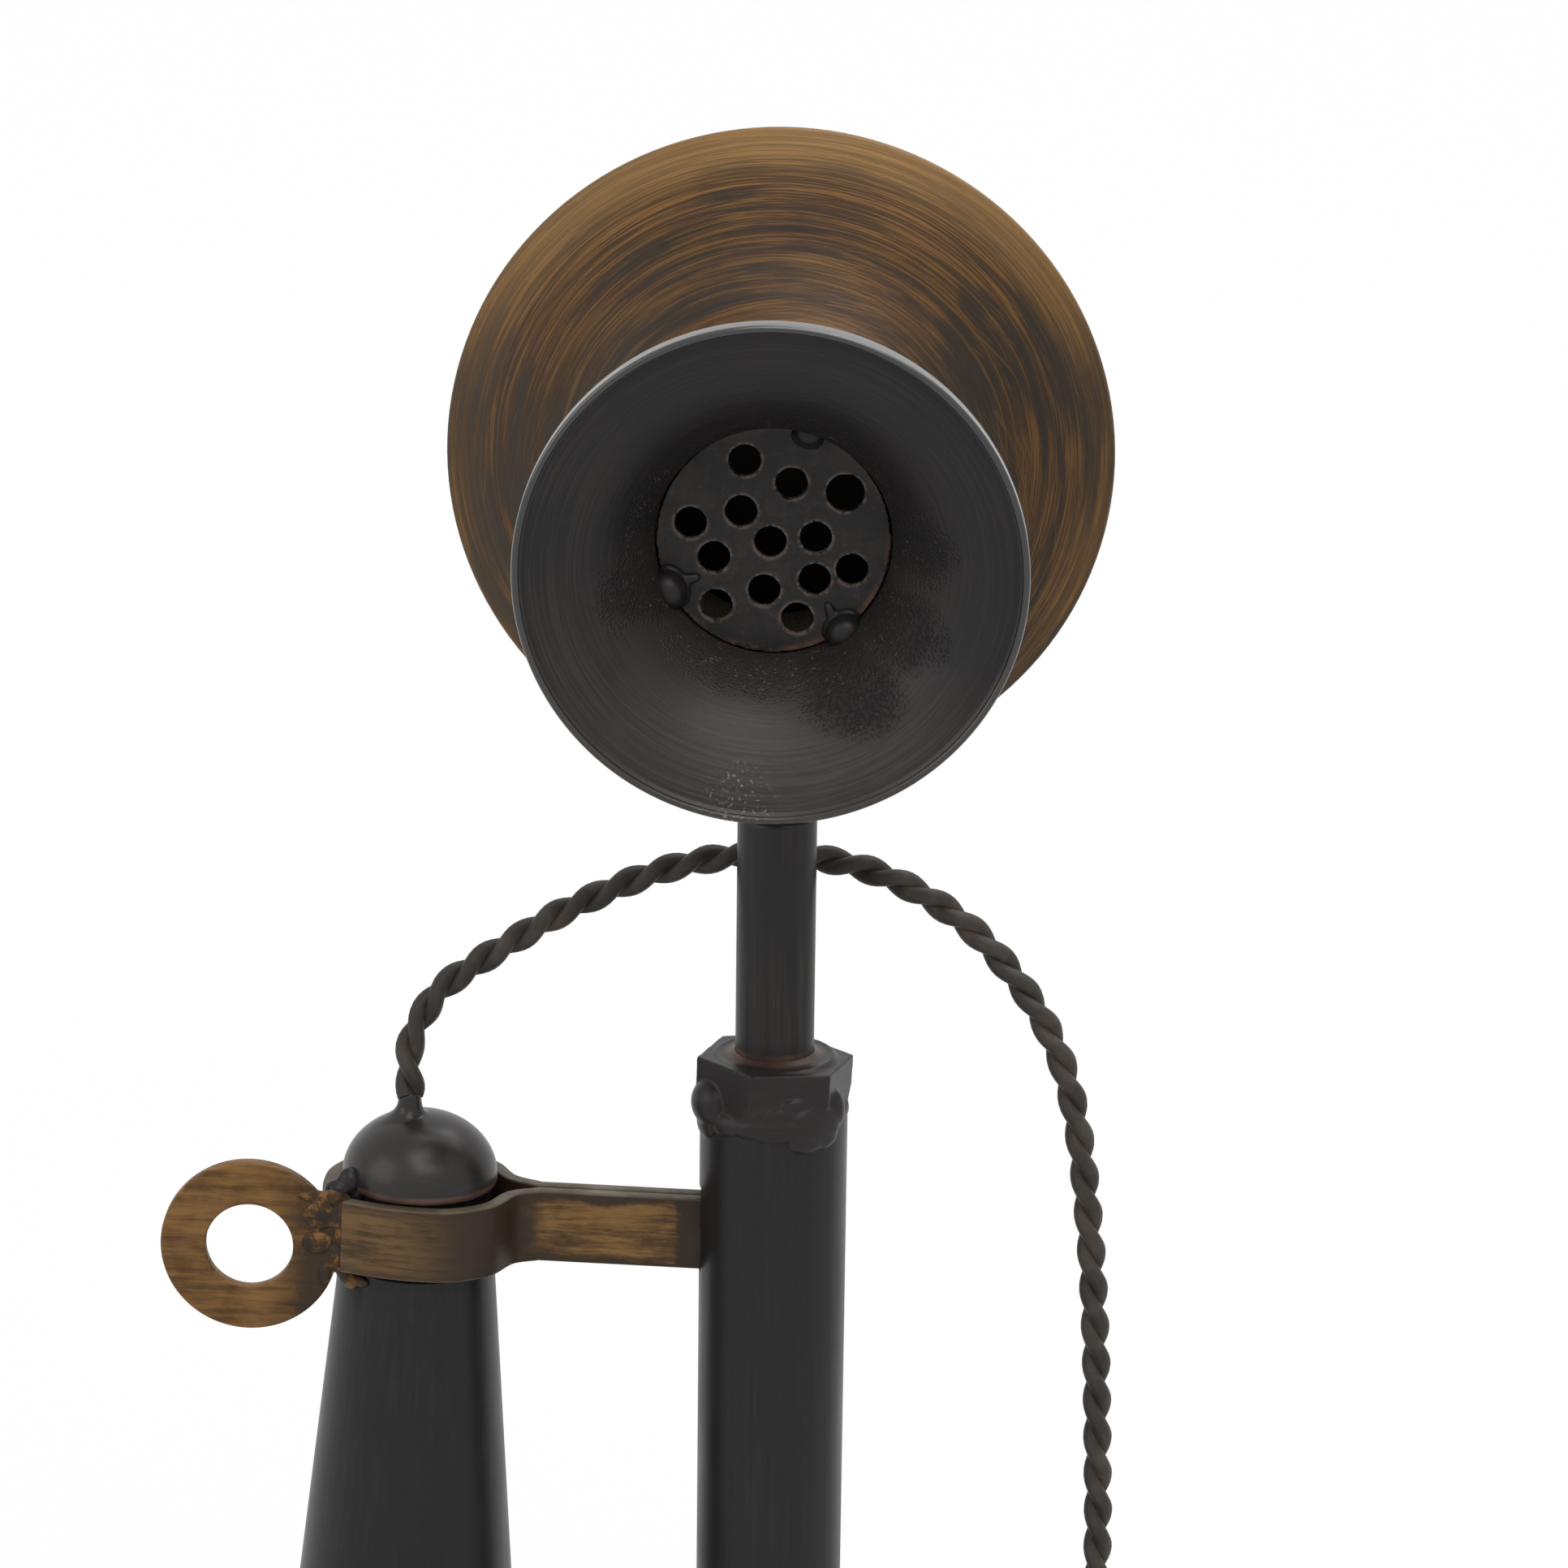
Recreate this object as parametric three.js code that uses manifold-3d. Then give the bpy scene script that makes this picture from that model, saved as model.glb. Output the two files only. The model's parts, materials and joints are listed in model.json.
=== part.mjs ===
// Candlestick telephone. A flared mouthpiece and a brass-washed bell stand on a post and a black
// column, the receiver hangs in the switch hook, and a twisted cord runs over the back to the base.
// Millimetres, +Z up. The mouthpiece faces -Y and the receiver hangs on the -X side.
// The origin is on the table, on the column's axis.
import * as THREE from 'three';
import { mergeVertices } from 'three/addons/utils/BufferGeometryUtils.js';
import Module from 'manifold-3d';

const wasm = await Module();
wasm.setup();

const DEG = Math.PI / 180;
const ROUND = 24; // sides of a turned piece
const WIDE = 36; // sides of a wide turned piece
const FINE = 12; // sides of a screw or a hole
const GAP = 0.3; // clearance between pieces that touch

// Screws
const SCREW_RADIUS = 1.5;
const SCREW_HEAD_RADIUS = 3;
const SCREW_HEAD_HEIGHT = 1;
const SCREW_GRIP = 3; // how deep a screw goes into its last piece
const PAST = 1; // how far a cutting tool runs past the piece it cuts

// Base
const BASE_RADIUS = 70;
const PAD_THICKNESS = 1.5;
const PLATE_THICKNESS = 1.5;
const FOOT_HEIGHT = 14; // the foot's ledge above the table
const FOOT_WALL = 2.5;
const FOOT_EDGE = 4; // radius of the foot's rounded edge
const LEDGE_WIDTH = 18; // foot showing outside the bell
const BELL_RIM_HEIGHT = 4;
const BELL_RIM_WIDTH = 10;
const BELL_RISE = 26;
const BELL_FLARE = 2.2; // power of the bell's flared curve
const BELL_WALL = 2;
const BELL_SHOULDER = 6.3; // how far the bell's top stands out from the column
const BASE_SCREW_COUNT = 3;
const BASE_SCREW_BOSS_RADIUS = 4;
const GROMMET_BORE_RADIUS = 1.9;
const GROMMET_WALL = 1.1;
const GROMMET_FLANGE = 1.2; // how far the grommet's flange stands out, and its thickness
const TERMINAL_COUNT = 3;
const TERMINAL_BOARD = [34, 12, 3];
const TERMINAL_BOARD_FORWARD = 24; // centre of the board in front of the column's axis

// Column
const COLUMN_RADIUS = 12.9;
const COLUMN_WALL = 1.6;
const COLUMN_ABOVE_HOOK = 23.7; // column's top above the hook's pivot
const COLLAR_WIDTH = 8.5;
const COLLAR_HEIGHT = 6;
const LOCKNUT_THICKNESS = 5;
const COLUMN_TAIL = 2; // column showing below its locknut
const NUT_HEIGHT = 9.5;
const NUT_INSET = 0.8; // the nut's flats stand this far inside the column's outside
const NUT_CHAMFER = 1.1;
const NUT_TURN = 12.5 * DEG; // turned out of square by hand
const LUMP_FLATNESS = 0.55; // how far a weld lump stands out, as a share of its radius
const NUT_LUMPS = [[-66 * DEG, 2, 5], [40 * DEG, 1.5, 4], [12 * DEG, 3, 2.2]]; // angle, height, radius

// Post and switch frame inside the column
const POST_RADIUS = 6.85;
const POST_SHOULDER_HEIGHT = 3.6;
const POST_CHAMFER = 1;
const POST_LENGTH = 59.3; // from the column's top to the tilt bolt
const FRAME_RING_HEIGHT = 6;
const CHEEK_THICKNESS = 2;
const CHEEK_HALF_WIDTH = 3.5;
const SPINE_THICKNESS = 2.2;
const SPRING_WALL = 2;
const CONTACT_BLOCK_HEIGHT = 8;
const CONTACT_BLOCK_WIDTH = 7;

// Switch hook
const HOOK_PIVOT_HEIGHT = 156.5;
const HOOK_LEAN = 2.4 * DEG; // how far the arm rises outwards at rest
const HOOK_LIFT = 8 * DEG; // how far the hook rises without the receiver
const STRIP_HEIGHT = 13;
const STRIP_THICKNESS = 2.5;
const STRIP_ROOT = 4; // strip past the pivot
const STRIP_STEPS = 5; // steps between two points of a strip's bend
const RECEIVER_OUT = 62.3; // receiver's axis from the column's axis
const RING_RADIUS = 15.4;
const RING_HOLE_RADIUS = 7.6;
const RING_DROP = 2.9; // ring's centre below the arm's centreline
const TAIL_THICKNESS = 2.5;
const TAIL_WIDTH = 6;
const RIVET_RADIUS = 1.2;
const RIVET_HEAD = [2, 0.4]; // radius and thickness
const RIVET_OUT = 7;
const STUD_RADIUS = 0.9;
const STUD_DROP = 22; // contact stud below the pivot
const STUD_OUT = 2;
const LEAF_THICKNESS = 0.5;
const LEAF_OVERLAP = 2; // moving leaf above the stud, and the contacts below the fixed leaf's end
const CONTACT_RADIUS = 1;
const LEAF_WIDTH = 5;
const LEAF_HEIGHT = 31.5;
const FIXED_LEAF_HEIGHT = 21;
const FIXED_LEAF_BACK = 3.5; // fixed leaf behind the moving leaf
const BLOCK_FRONT = 4; // insulating block in front of the fixed leaf

// Receiver
const NECK_RADIUS = 12.5;
const NECK_SLACK = 0.4; // the hook's loop is this much wider than the neck
const DOME_RADIUS = 13.6;
const DOME_RISE = 10.8;
const DOME_BAND = 1; // straight edge of the dome under its curve
const DOME_WALL = 1.6;
const CORD_BOSS_OUT = 2.2; // weld cone at the cord, left of the dome's pole
const CORD_BOSS_RISE = 2.6;
const SHELL_WALL = 2;
const CONE_TOP_RADIUS = 13.6;
const CONE_LENGTH = 76;
const CONE_TAPER = 0.0885; // growth of the cone's radius with its length
const FLARE_HEIGHT = 14.6;
const FLANGE_RADIUS = 26;
const FLANGE_HEIGHT = 5;
const MOUTH_RADIUS = 22;
const CAP_WALL = 2.2;
const CAP_DEPTH = 12;
const CAP_EDGE = 3; // radius of the cap's rounded edge
const CAP_LIP = 1; // flat lip inside that edge
const CAP_MIDDLE = 0.42; // depth of the bowl at its middle, as a share of the cap's
const EAR_HOLE_RADIUS = 7;
const FLARE_POWER = 2.4;
const MAGNET_LEG = [4.5, 9];
const MAGNET_SPREAD = 3; // inside of a leg from the axis
const MAGNET_LENGTH = 86;
const COIL_SPACE = 7; // from the receiver's mouth to the top of the coil plate
const COIL_WALL = 2.3;
const DIAPHRAGM_THICKNESS = 0.5;

// Transmitter head
const HEAD_YAW = -1 * DEG;
const HEAD_TILT = 3 * DEG;
const HEAD_RISE = 58.8; // bell's centre above the tilt bolt
const HEAD_FORWARD = 6.9; // bell's rim in front of the tilt bolt
const FACE_RADIUS = 55.4;
const FACE_WALL = 1.5;
const FACE_BEAD = 1.2; // rolled rim
const BRIM_WIDTH = 15;
const BRIM_SLOPE = 22 * DEG;
const NECK_LENGTH = 2; // straight end of the bell's neck
const CUP_RADIUS = 50;
const CUP_DEPTH = 22;
const CUP_WALL = 1.5;
const CUP_EDGE = 10;
const BOSS_CIRCLE = 34;
const BOSS_RADIUS = 3.2;
const SEAT_RADIUS = 28.7;
const SEAT_WALL = 3;
const SEAT_DROP = 1; // diaphragm's seat behind the bell's rim
const TAPPED_DEPTH = 7;
const BUTTON_RADIUS = 9;
const BUTTON_STUD_RADIUS = 2;
const BUTTON_STUD_END = 1; // stud showing behind the bridge
const BUTTON_DEPTH = 9.8;
const BRIDGE_THICKNESS = 2.5;
const BRIDGE_WIDTH = 10;
const HORN_REACH = 71.3; // horn's rim in front of the bell's rim
const HORN_RADIUS = 39.5;
const HORN_WALL = 1.2;
const HORN_LIP = 4;
const HORN_FOLD = 2.9; // flat ring inside the lip
const HORN_FLARE = 66 * DEG;
const HORN_TUBE = 22; // straight throat behind the grille
const GRILLE_RADIUS = 18.3;
const GRILLE_REACH = 49.4;
const GRILLE_THICKNESS = 1.2;
const GRILLE_HOLE_RADIUS = 2.5;
const GRILLE_HOLES = [ // right, up and, for the one drilled larger, its own radius
  [-4.6, 12.8], [2.7, 9.2], [11.1, 7.8, 3], [-13, 2.6], [-5.1, 4.6], [-0.5, -0.3], [6.6, 0.5],
  [-9.3, -2.9], [12.3, -4.6], [6.5, -6.3], [-1.4, -8.2], [-8.9, -10.7], [3.8, -12.7],
];
const GRILLE_TACKS = [[73 * DEG, 2.4], [206 * DEG, 3.2], [308 * DEG, 2.7]]; // angle and radius
const TONGUE_THICKNESS = 4.5;
const TONGUE_RADIUS = 4.5;
const TONGUE_NECK = 1.6; // tongue between the post's shoulder and its eye
const LUG_ROOF = 1; // clearance above the tongue
const SADDLE_RISE = 2; // lug reaching up round the cup
const LUG_HEEL = 1.5; // lug's upper part behind its ears
const LUG_ROOM = 20; // half the length of the tools that open the lug
const BOLT_HEAD = [3.2, 2]; // radius and thickness
const BOLT_NUT_WALL = 2;
const BOLT_TAIL = 1; // bolt showing past its nut
const BOLT_NUT_THICKNESS = 2.4;

// Cord: where its middle runs, from the receiver's dome to the base, with heights from the hook's pivot
const CORD_RADIUS = 2.6;
const CORD_STEPS = 64;
const CORD_SIDES = 8;
const FERRULE_HEIGHT = 8;
const FERRULE_WALL = 2;
const FERRULE_LIP = 1.5; // thickness of the ferrule's flange
const FERRULE_CLEARANCE = 1.7; // from the bell's rim to the ferrule's flange
const CORD_FOOT_BACK = 3; // where the cord goes into the base, behind the column's axis
const CORD_ROUTE = [
  [-63.4, 0, 24.9], [-63.6, 0.3, 30], [-63.1, 1, 35.2], [-59, 2, 42.8], [-53.6, 4, 46.8],
  [-45.8, 6, 51.45], [-36.3, 8, 56.75], [-23.7, 10.5, 61.9], [-12.4, 12, 64.8], [0, 12.6, 66],
  [11, 12, 64.7], [18.8, 11, 62.6], [26.2, 9.5, 59.3], [33.1, 8, 54.85], [39.1, 6.5, 49.15],
  [44.9, 5, 41.7], [48.9, 4.5, 34.4], [51.4, 4, 27.6], [53.3, 3.5, 19.8], [54.65, 3, 11.6],
  [55.85, 3, 1.7], [56.95, 3, -9.8], [57.95, 3, -25.3], [58.75, 3, -44], [59.3, 3, -65],
];

// Finishes
const finish = (color, roughness, metalness) => () =>
  new THREE.MeshStandardMaterial({ color, roughness, metalness });
const blackPaint = finish(0x2b2a29, 0.5, 0.6);
const brassWash = finish(0x7a5c31, 0.5, 0.8);
const steel = finish(0x8f9092, 0.35, 0.9);
const brass = finish(0xb08d4a, 0.35, 0.9);
const copper = finish(0x8a4b2c, 0.45, 0.8);
const fibre = finish(0x4a2f22, 0.8, 0);
const rubber = finish(0x1c1c1c, 0.9, 0);
const felt = finish(0x33402f, 0.95, 0);
const cordBraid = finish(0x37322d, 0.8, 0.1);

// ---- Shapes ----

// Merges the corners that triangles share, drops empty triangles and turns the faces outwards.
function closed(geometry) {
  const bare = new THREE.BufferGeometry();
  bare.setAttribute('position', geometry.getAttribute('position'));
  bare.setIndex(geometry.index);
  const merged = mergeVertices(bare, 1e-4);
  const corners = merged.index.array;
  const kept = [];
  for (let i = 0; i < corners.length; i += 3) {
    const [a, b, c] = corners.slice(i, i + 3);
    if (a !== b && b !== c && c !== a) kept.push(a, b, c);
  }
  if (volume(merged.getAttribute('position'), kept) < 0) kept.reverse();
  merged.setIndex(kept);
  return merged;
}

function volume(position, corners) {
  const [a, b, c] = [new THREE.Vector3(), new THREE.Vector3(), new THREE.Vector3()];
  let total = 0;
  for (let i = 0; i < corners.length; i += 3) {
    [a, b, c].forEach((corner, j) => corner.fromBufferAttribute(position, corners[i + j]));
    total += a.dot(b.cross(c)) / 6;
  }
  return total;
}

function toSolid(geometry) {
  const shell = closed(geometry);
  return new wasm.Manifold(new wasm.Mesh({
    numProp: 3,
    vertProperties: new Float32Array(shell.getAttribute('position').array),
    triVerts: new Uint32Array(shell.index.array),
  }));
}

function toGeometry(solid) {
  const { vertProperties, triVerts } = solid.getMesh();
  const geometry = new THREE.BufferGeometry();
  geometry.setAttribute('position', new THREE.BufferAttribute(vertProperties, 3));
  geometry.setIndex(new THREE.BufferAttribute(triVerts, 1));
  return geometry;
}

const boolean = (operation) => (first, ...others) =>
  toGeometry(others.reduce((solid, other) => solid[operation](toSolid(other)), toSolid(first)));
const join = boolean('add');
const cut = boolean('subtract');
const common = boolean('intersect');

// A body turned about +Z from [radius, height] corners that close on the axis or on themselves.
function turned(profile, sides = ROUND) {
  const closesOnAxis = profile[0][0] === 0 && profile.at(-1)[0] === 0;
  const outline = closesOnAxis ? profile : [...profile, profile[0]];
  const points = outline.map(([radius, height]) => new THREE.Vector2(radius, height));
  return new THREE.LatheGeometry(points, sides).rotateX(Math.PI / 2);
}

// Corners of an arc for a turned profile; angles run from outwards (0) to upwards (90 degrees).
function arc(radius, height, size, from, to, steps) {
  return Array.from({ length: steps + 1 }, (_, i) => {
    const angle = from + ((to - from) * i) / steps;
    return [radius + size * Math.cos(angle), height + size * Math.sin(angle)];
  });
}

// A round bar between two points.
function rod(radius, start, end, sides = FINE) {
  const from = new THREE.Vector3(...start);
  const to = new THREE.Vector3(...end);
  const along = to.clone().sub(from);
  const up = new THREE.Vector3(0, 1, 0);
  const turn = new THREE.Quaternion().setFromUnitVectors(up, along.clone().normalize());
  return new THREE.CylinderGeometry(radius, radius, along.length(), sides)
    .applyQuaternion(turn)
    .translate(...from.add(to).multiplyScalar(0.5).toArray());
}

function block(low, high) {
  const size = high.map((value, i) => value - low[i]);
  const middle = high.map((value, i) => (value + low[i]) / 2);
  return new THREE.BoxGeometry(...size).translate(...middle);
}

const ringBar = (inner, outer, bottom, top, sides = ROUND) =>
  turned([[inner, bottom], [outer, bottom], [outer, top], [inner, top]], sides);

// A screw pointing along +Z with the underside of its head at the origin.
function screw(shank, headRadius = SCREW_HEAD_RADIUS, headHeight = SCREW_HEAD_HEIGHT) {
  return turned([
    [0, -headHeight], [headRadius, -headHeight], [headRadius, 0],
    [SCREW_RADIUS, 0], [SCREW_RADIUS, shank], [0, shank],
  ], FINE);
}

const screwHole = (start, end) => rod(SCREW_RADIUS + GAP, start, end);

function add(parent, name, geometry, material, place = [0, 0, 0], turn = [0, 0, 0]) {
  const mesh = new THREE.Mesh(closed(geometry), material());
  mesh.name = name;
  mesh.position.set(...place);
  mesh.rotation.set(...turn);
  parent.add(mesh);
}

const onCircle = (radius, angle) => [radius * Math.cos(angle), radius * Math.sin(angle)];
const aroundCircle = (count, radius, first) => Array.from({ length: count }, (_, i) =>
  onCircle(radius, first + (2 * Math.PI * i) / count));

const columnTop = HOOK_PIVOT_HEIGHT + COLUMN_ABOVE_HOOK;
const tiltHeight = columnTop + POST_LENGTH;

// ---- Base ----

const plateBottom = PAD_THICKNESS + GAP;
const plateTop = plateBottom + PLATE_THICKNESS;
const bellRimRadius = BASE_RADIUS - LEDGE_WIDTH;
const bellBottom = FOOT_HEIGHT + GAP;
const bellCurveStart = bellBottom + BELL_RIM_HEIGHT;
const bellTop = bellCurveStart + BELL_RISE;
const bellNeckRadius = COLUMN_RADIUS + BELL_SHOULDER;
const columnBore = COLUMN_RADIUS + GAP;
const baseScrewSpots = aroundCircle(
  BASE_SCREW_COUNT, bellRimRadius - BELL_RIM_WIDTH / 2, Math.PI / 2);

function makeFoot() {
  const opening = bellRimRadius - BELL_RIM_WIDTH;
  const centre = [BASE_RADIUS - FOOT_EDGE, FOOT_HEIGHT - FOOT_EDGE];
  const shell = turned([
    [BASE_RADIUS, plateBottom],
    ...arc(...centre, FOOT_EDGE, 0, 90 * DEG, 4),
    [opening, FOOT_HEIGHT],
    [opening, FOOT_HEIGHT - FOOT_WALL],
    ...arc(...centre, FOOT_EDGE - FOOT_WALL, 90 * DEG, 0, 2),
    [BASE_RADIUS - FOOT_WALL, plateBottom],
  ], WIDE);
  const bosses = baseScrewSpots.map(([x, y]) =>
    rod(BASE_SCREW_BOSS_RADIUS, [x, y, plateTop + GAP], [x, y, FOOT_HEIGHT - FOOT_WALL / 2]));
  const holes = baseScrewSpots.map(([x, y]) => screwHole([x, y, 0], [x, y, FOOT_HEIGHT + PAST]));
  const cordHole = rod(
    GROMMET_BORE_RADIUS + GROMMET_WALL + GAP,
    [0, BASE_RADIUS - 2 * FOOT_WALL, grommetHeight], [0, BASE_RADIUS + PAST, grommetHeight]);
  return cut(join(shell, ...bosses), ...holes, cordHole);
}

const grommetHeight = (plateBottom + FOOT_HEIGHT - FOOT_EDGE) / 2;

function makeGrommet() {
  const body = GROMMET_BORE_RADIUS + GROMMET_WALL;
  const flange = body + GROMMET_FLANGE;
  return turned([
    [GROMMET_BORE_RADIUS, -FOOT_WALL - GAP], [body, -FOOT_WALL - GAP], [body, GAP], [flange, GAP],
    [flange, GAP + GROMMET_FLANGE], [GROMMET_BORE_RADIUS, GAP + GROMMET_FLANGE],
  ], FINE);
}

function makeBaseBell() {
  const span = bellRimRadius - bellNeckRadius;
  const curve = (t) => [bellRimRadius - span * t, bellCurveStart + BELL_RISE * t ** BELL_FLARE];
  const lipInside = bellRimRadius - BELL_RIM_WIDTH;
  const innerStart = (BELL_RIM_WIDTH - BELL_WALL) / span;
  const outer = Array.from({ length: 8 }, (_, i) => curve(i / 7));
  const inner = Array.from({ length: 6 }, (_, i) => curve(1 - ((1 - innerStart) * i) / 5))
    .map(([radius, height]) => [radius - BELL_WALL, height - BELL_WALL]);
  const shell = turned([
    [bellRimRadius, bellBottom], ...outer, [columnBore, bellTop],
    [columnBore, bellTop - BELL_WALL], ...inner, [lipInside, bellBottom],
  ], WIDE);
  const holes = baseScrewSpots.map(([x, y]) =>
    screwHole([x, y, bellBottom - PAST], [x, y, bellBottom + SCREW_GRIP + GAP]));
  return cut(shell, ...holes);
}

function makeBase(stand) {
  const padHoles = baseScrewSpots.map(([x, y]) =>
    rod(SCREW_HEAD_RADIUS + 2 * GAP, [x, y, -PAST], [x, y, PAD_THICKNESS + PAST]));
  const padRadius = BASE_RADIUS - FOOT_WALL;
  add(stand, 'base_pad', cut(turned(
    [[0, 0], [padRadius, 0], [padRadius, PAD_THICKNESS], [0, PAD_THICKNESS]], WIDE), ...padHoles), felt);
  const plateRadius = BASE_RADIUS - FOOT_WALL - GAP;
  const plateHoles = baseScrewSpots.map(([x, y]) => screwHole([x, y, 0], [x, y, plateTop + PAST]));
  add(stand, 'base_plate', cut(turned([
    [0, plateBottom], [plateRadius, plateBottom], [plateRadius, plateTop], [0, plateTop],
  ], WIDE), ...plateHoles), blackPaint);
  add(stand, 'base_foot', makeFoot(), blackPaint);
  add(stand, 'base_bell', makeBaseBell(), brassWash);
  baseScrewSpots.forEach(([x, y], i) => add(stand, `base_screw_${i + 1}`,
    screw(bellBottom + SCREW_GRIP - PAD_THICKNESS), steel, [x, y, PAD_THICKNESS]));
  add(stand, 'line_grommet', makeGrommet(), rubber,
    [0, BASE_RADIUS, grommetHeight], [-Math.PI / 2, 0, 0]);

  const [boardLength, boardWidth, boardThickness] = TERMINAL_BOARD;
  const boardBottom = plateTop + GAP;
  const boardTop = boardBottom + boardThickness;
  const terminalGrip = boardThickness * 0.8;
  const terminalSpots = Array.from({ length: TERMINAL_COUNT }, (_, i) =>
    [boardLength * ((i + 0.5) / TERMINAL_COUNT - 0.5), -TERMINAL_BOARD_FORWARD]);
  add(stand, 'terminal_board', cut(
    block(
      [-boardLength / 2, -TERMINAL_BOARD_FORWARD - boardWidth / 2, boardBottom],
      [boardLength / 2, -TERMINAL_BOARD_FORWARD + boardWidth / 2, boardTop]),
    ...terminalSpots.map(([x, y]) => screwHole([x, y, boardTop - terminalGrip], [x, y, boardTop + PAST])),
  ), fibre);
  terminalSpots.forEach(([x, y], i) => add(stand, `terminal_screw_${i + 1}`,
    screw(terminalGrip), brass, [x, y, boardTop + GAP], [Math.PI, 0, 0]));
}

// ---- Column, nut and the frame inside the column ----

const columnInside = COLUMN_RADIUS - COLUMN_WALL;
const lockNutTop = bellTop - BELL_WALL - GAP;
const columnBottom = lockNutTop - LOCKNUT_THICKNESS - COLUMN_TAIL;
const nutBottom = columnTop + GAP;
const shoulderBottom = columnTop - POST_SHOULDER_HEIGHT;
const frameTop = shoulderBottom - GAP;
const frameScrewHeight = frameTop - FRAME_RING_HEIGHT / 2;
const frameScrewEnd = POST_RADIUS + 6 * GAP;
const stripFace = STRIP_THICKNESS + GAP / 2; // outside of a strip from the middle plane
const tailFace = stripFace + GAP + TAIL_THICKNESS;
const cheekFace = tailFace + 2 * GAP;
const pinHoleRadius = SCREW_RADIUS + GAP;
const spineInside = columnInside - SPINE_THICKNESS - 6 * GAP;

// Where a point of the hook lies, seen from the front, with the hook raised by lift.
function hookPoint(out, up, lift = 0) {
  const angle = HOOK_LEAN + lift;
  return [
    out * Math.cos(angle) + up * Math.sin(angle),
    HOOK_PIVOT_HEIGHT - out * Math.sin(angle) + up * Math.cos(angle),
  ];
}

const [studX, studZ] = hookPoint(STUD_OUT, -STUD_DROP);
const leafX = studX + STUD_RADIUS + GAP; // inner face of the moving leaf
const leafFoot = studZ + LEAF_OVERLAP - LEAF_HEIGHT;
const blockTop = leafFoot - GAP;
const blockBottom = blockTop - CONTACT_BLOCK_HEIGHT;
const contactScrewHeight = (blockTop + blockBottom) / 2;

function makeColumn() {
  const low = hookPoint(-columnInside, -STRIP_HEIGHT / 2)[1] - GAP;
  const high = hookPoint(-COLUMN_RADIUS, STRIP_HEIGHT / 2, HOOK_LIFT)[1] + 2 * GAP;
  const slotHalf = stripFace + GAP;
  const slot = block([-COLUMN_RADIUS - PAST, -slotHalf, low], [-columnInside / 2, slotHalf, high]);
  const tube = ringBar(columnInside, COLUMN_RADIUS, columnBottom, columnTop);
  return cut(tube, slot,
    screwHole([0, columnInside / 2, frameScrewHeight], [0, COLUMN_RADIUS + PAST, frameScrewHeight]));
}

function makeCollarNut() {
  const flats = COLUMN_RADIUS - NUT_INSET;
  const corners = flats / Math.cos(30 * DEG);
  const hexagon = turned([
    [0, nutBottom], [corners, nutBottom], [corners, nutBottom + NUT_HEIGHT], [0, nutBottom + NUT_HEIGHT],
  ], 6).rotateZ(30 * DEG + NUT_TURN);
  const chamfer = turned([
    [0, nutBottom - PAST], [corners, nutBottom - PAST], [corners, nutBottom + NUT_HEIGHT - NUT_CHAMFER],
    [flats - NUT_CHAMFER, nutBottom + NUT_HEIGHT], [0, nutBottom + NUT_HEIGHT],
  ]);
  const lumps = NUT_LUMPS.map(([angle, height, radius]) => new THREE.SphereGeometry(radius, 12, 8)
    .rotateX(Math.PI / 2)
    .scale(1, LUMP_FLATNESS, 1)
    .translate(0, -flats, nutBottom + height)
    .rotateZ(angle));
  const bore = rod(POST_RADIUS + GAP, [0, 0, nutBottom - PAST], [0, 0, nutBottom + NUT_HEIGHT + PAST], ROUND);
  const columnRoom = rod(COLUMN_RADIUS + GAP, [0, 0, shoulderBottom], [0, 0, nutBottom], ROUND);
  return cut(join(common(hexagon, chamfer), ...lumps), bore, columnRoom);
}

function makeSwitchFrame() {
  const ringBottom = frameTop - FRAME_RING_HEIGHT;
  const ring = ringBar(POST_RADIUS + GAP, columnInside - GAP, ringBottom, frameTop);
  const cheek = (side) => block(
    [-CHEEK_HALF_WIDTH, Math.min(side * cheekFace, side * (cheekFace + CHEEK_THICKNESS)),
      HOOK_PIVOT_HEIGHT - CHEEK_HALF_WIDTH],
    [CHEEK_HALF_WIDTH, Math.max(side * cheekFace, side * (cheekFace + CHEEK_THICKNESS)),
      ringBottom + GAP]);
  const spine = block(
    [spineInside, -CONTACT_BLOCK_WIDTH / 2, blockBottom],
    [spineInside + SPINE_THICKNESS, CONTACT_BLOCK_WIDTH / 2, ringBottom + GAP]);
  return cut(
    join(ring, cheek(-1), cheek(1), spine),
    rod(pinHoleRadius, [0, -columnInside, HOOK_PIVOT_HEIGHT], [0, columnInside, HOOK_PIVOT_HEIGHT]),
    screwHole([0, frameScrewEnd - GAP, frameScrewHeight], [0, COLUMN_RADIUS, frameScrewHeight]),
    screwHole([spineInside - PAST, 0, contactScrewHeight], [COLUMN_RADIUS, 0, contactScrewHeight]));
}

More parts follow.
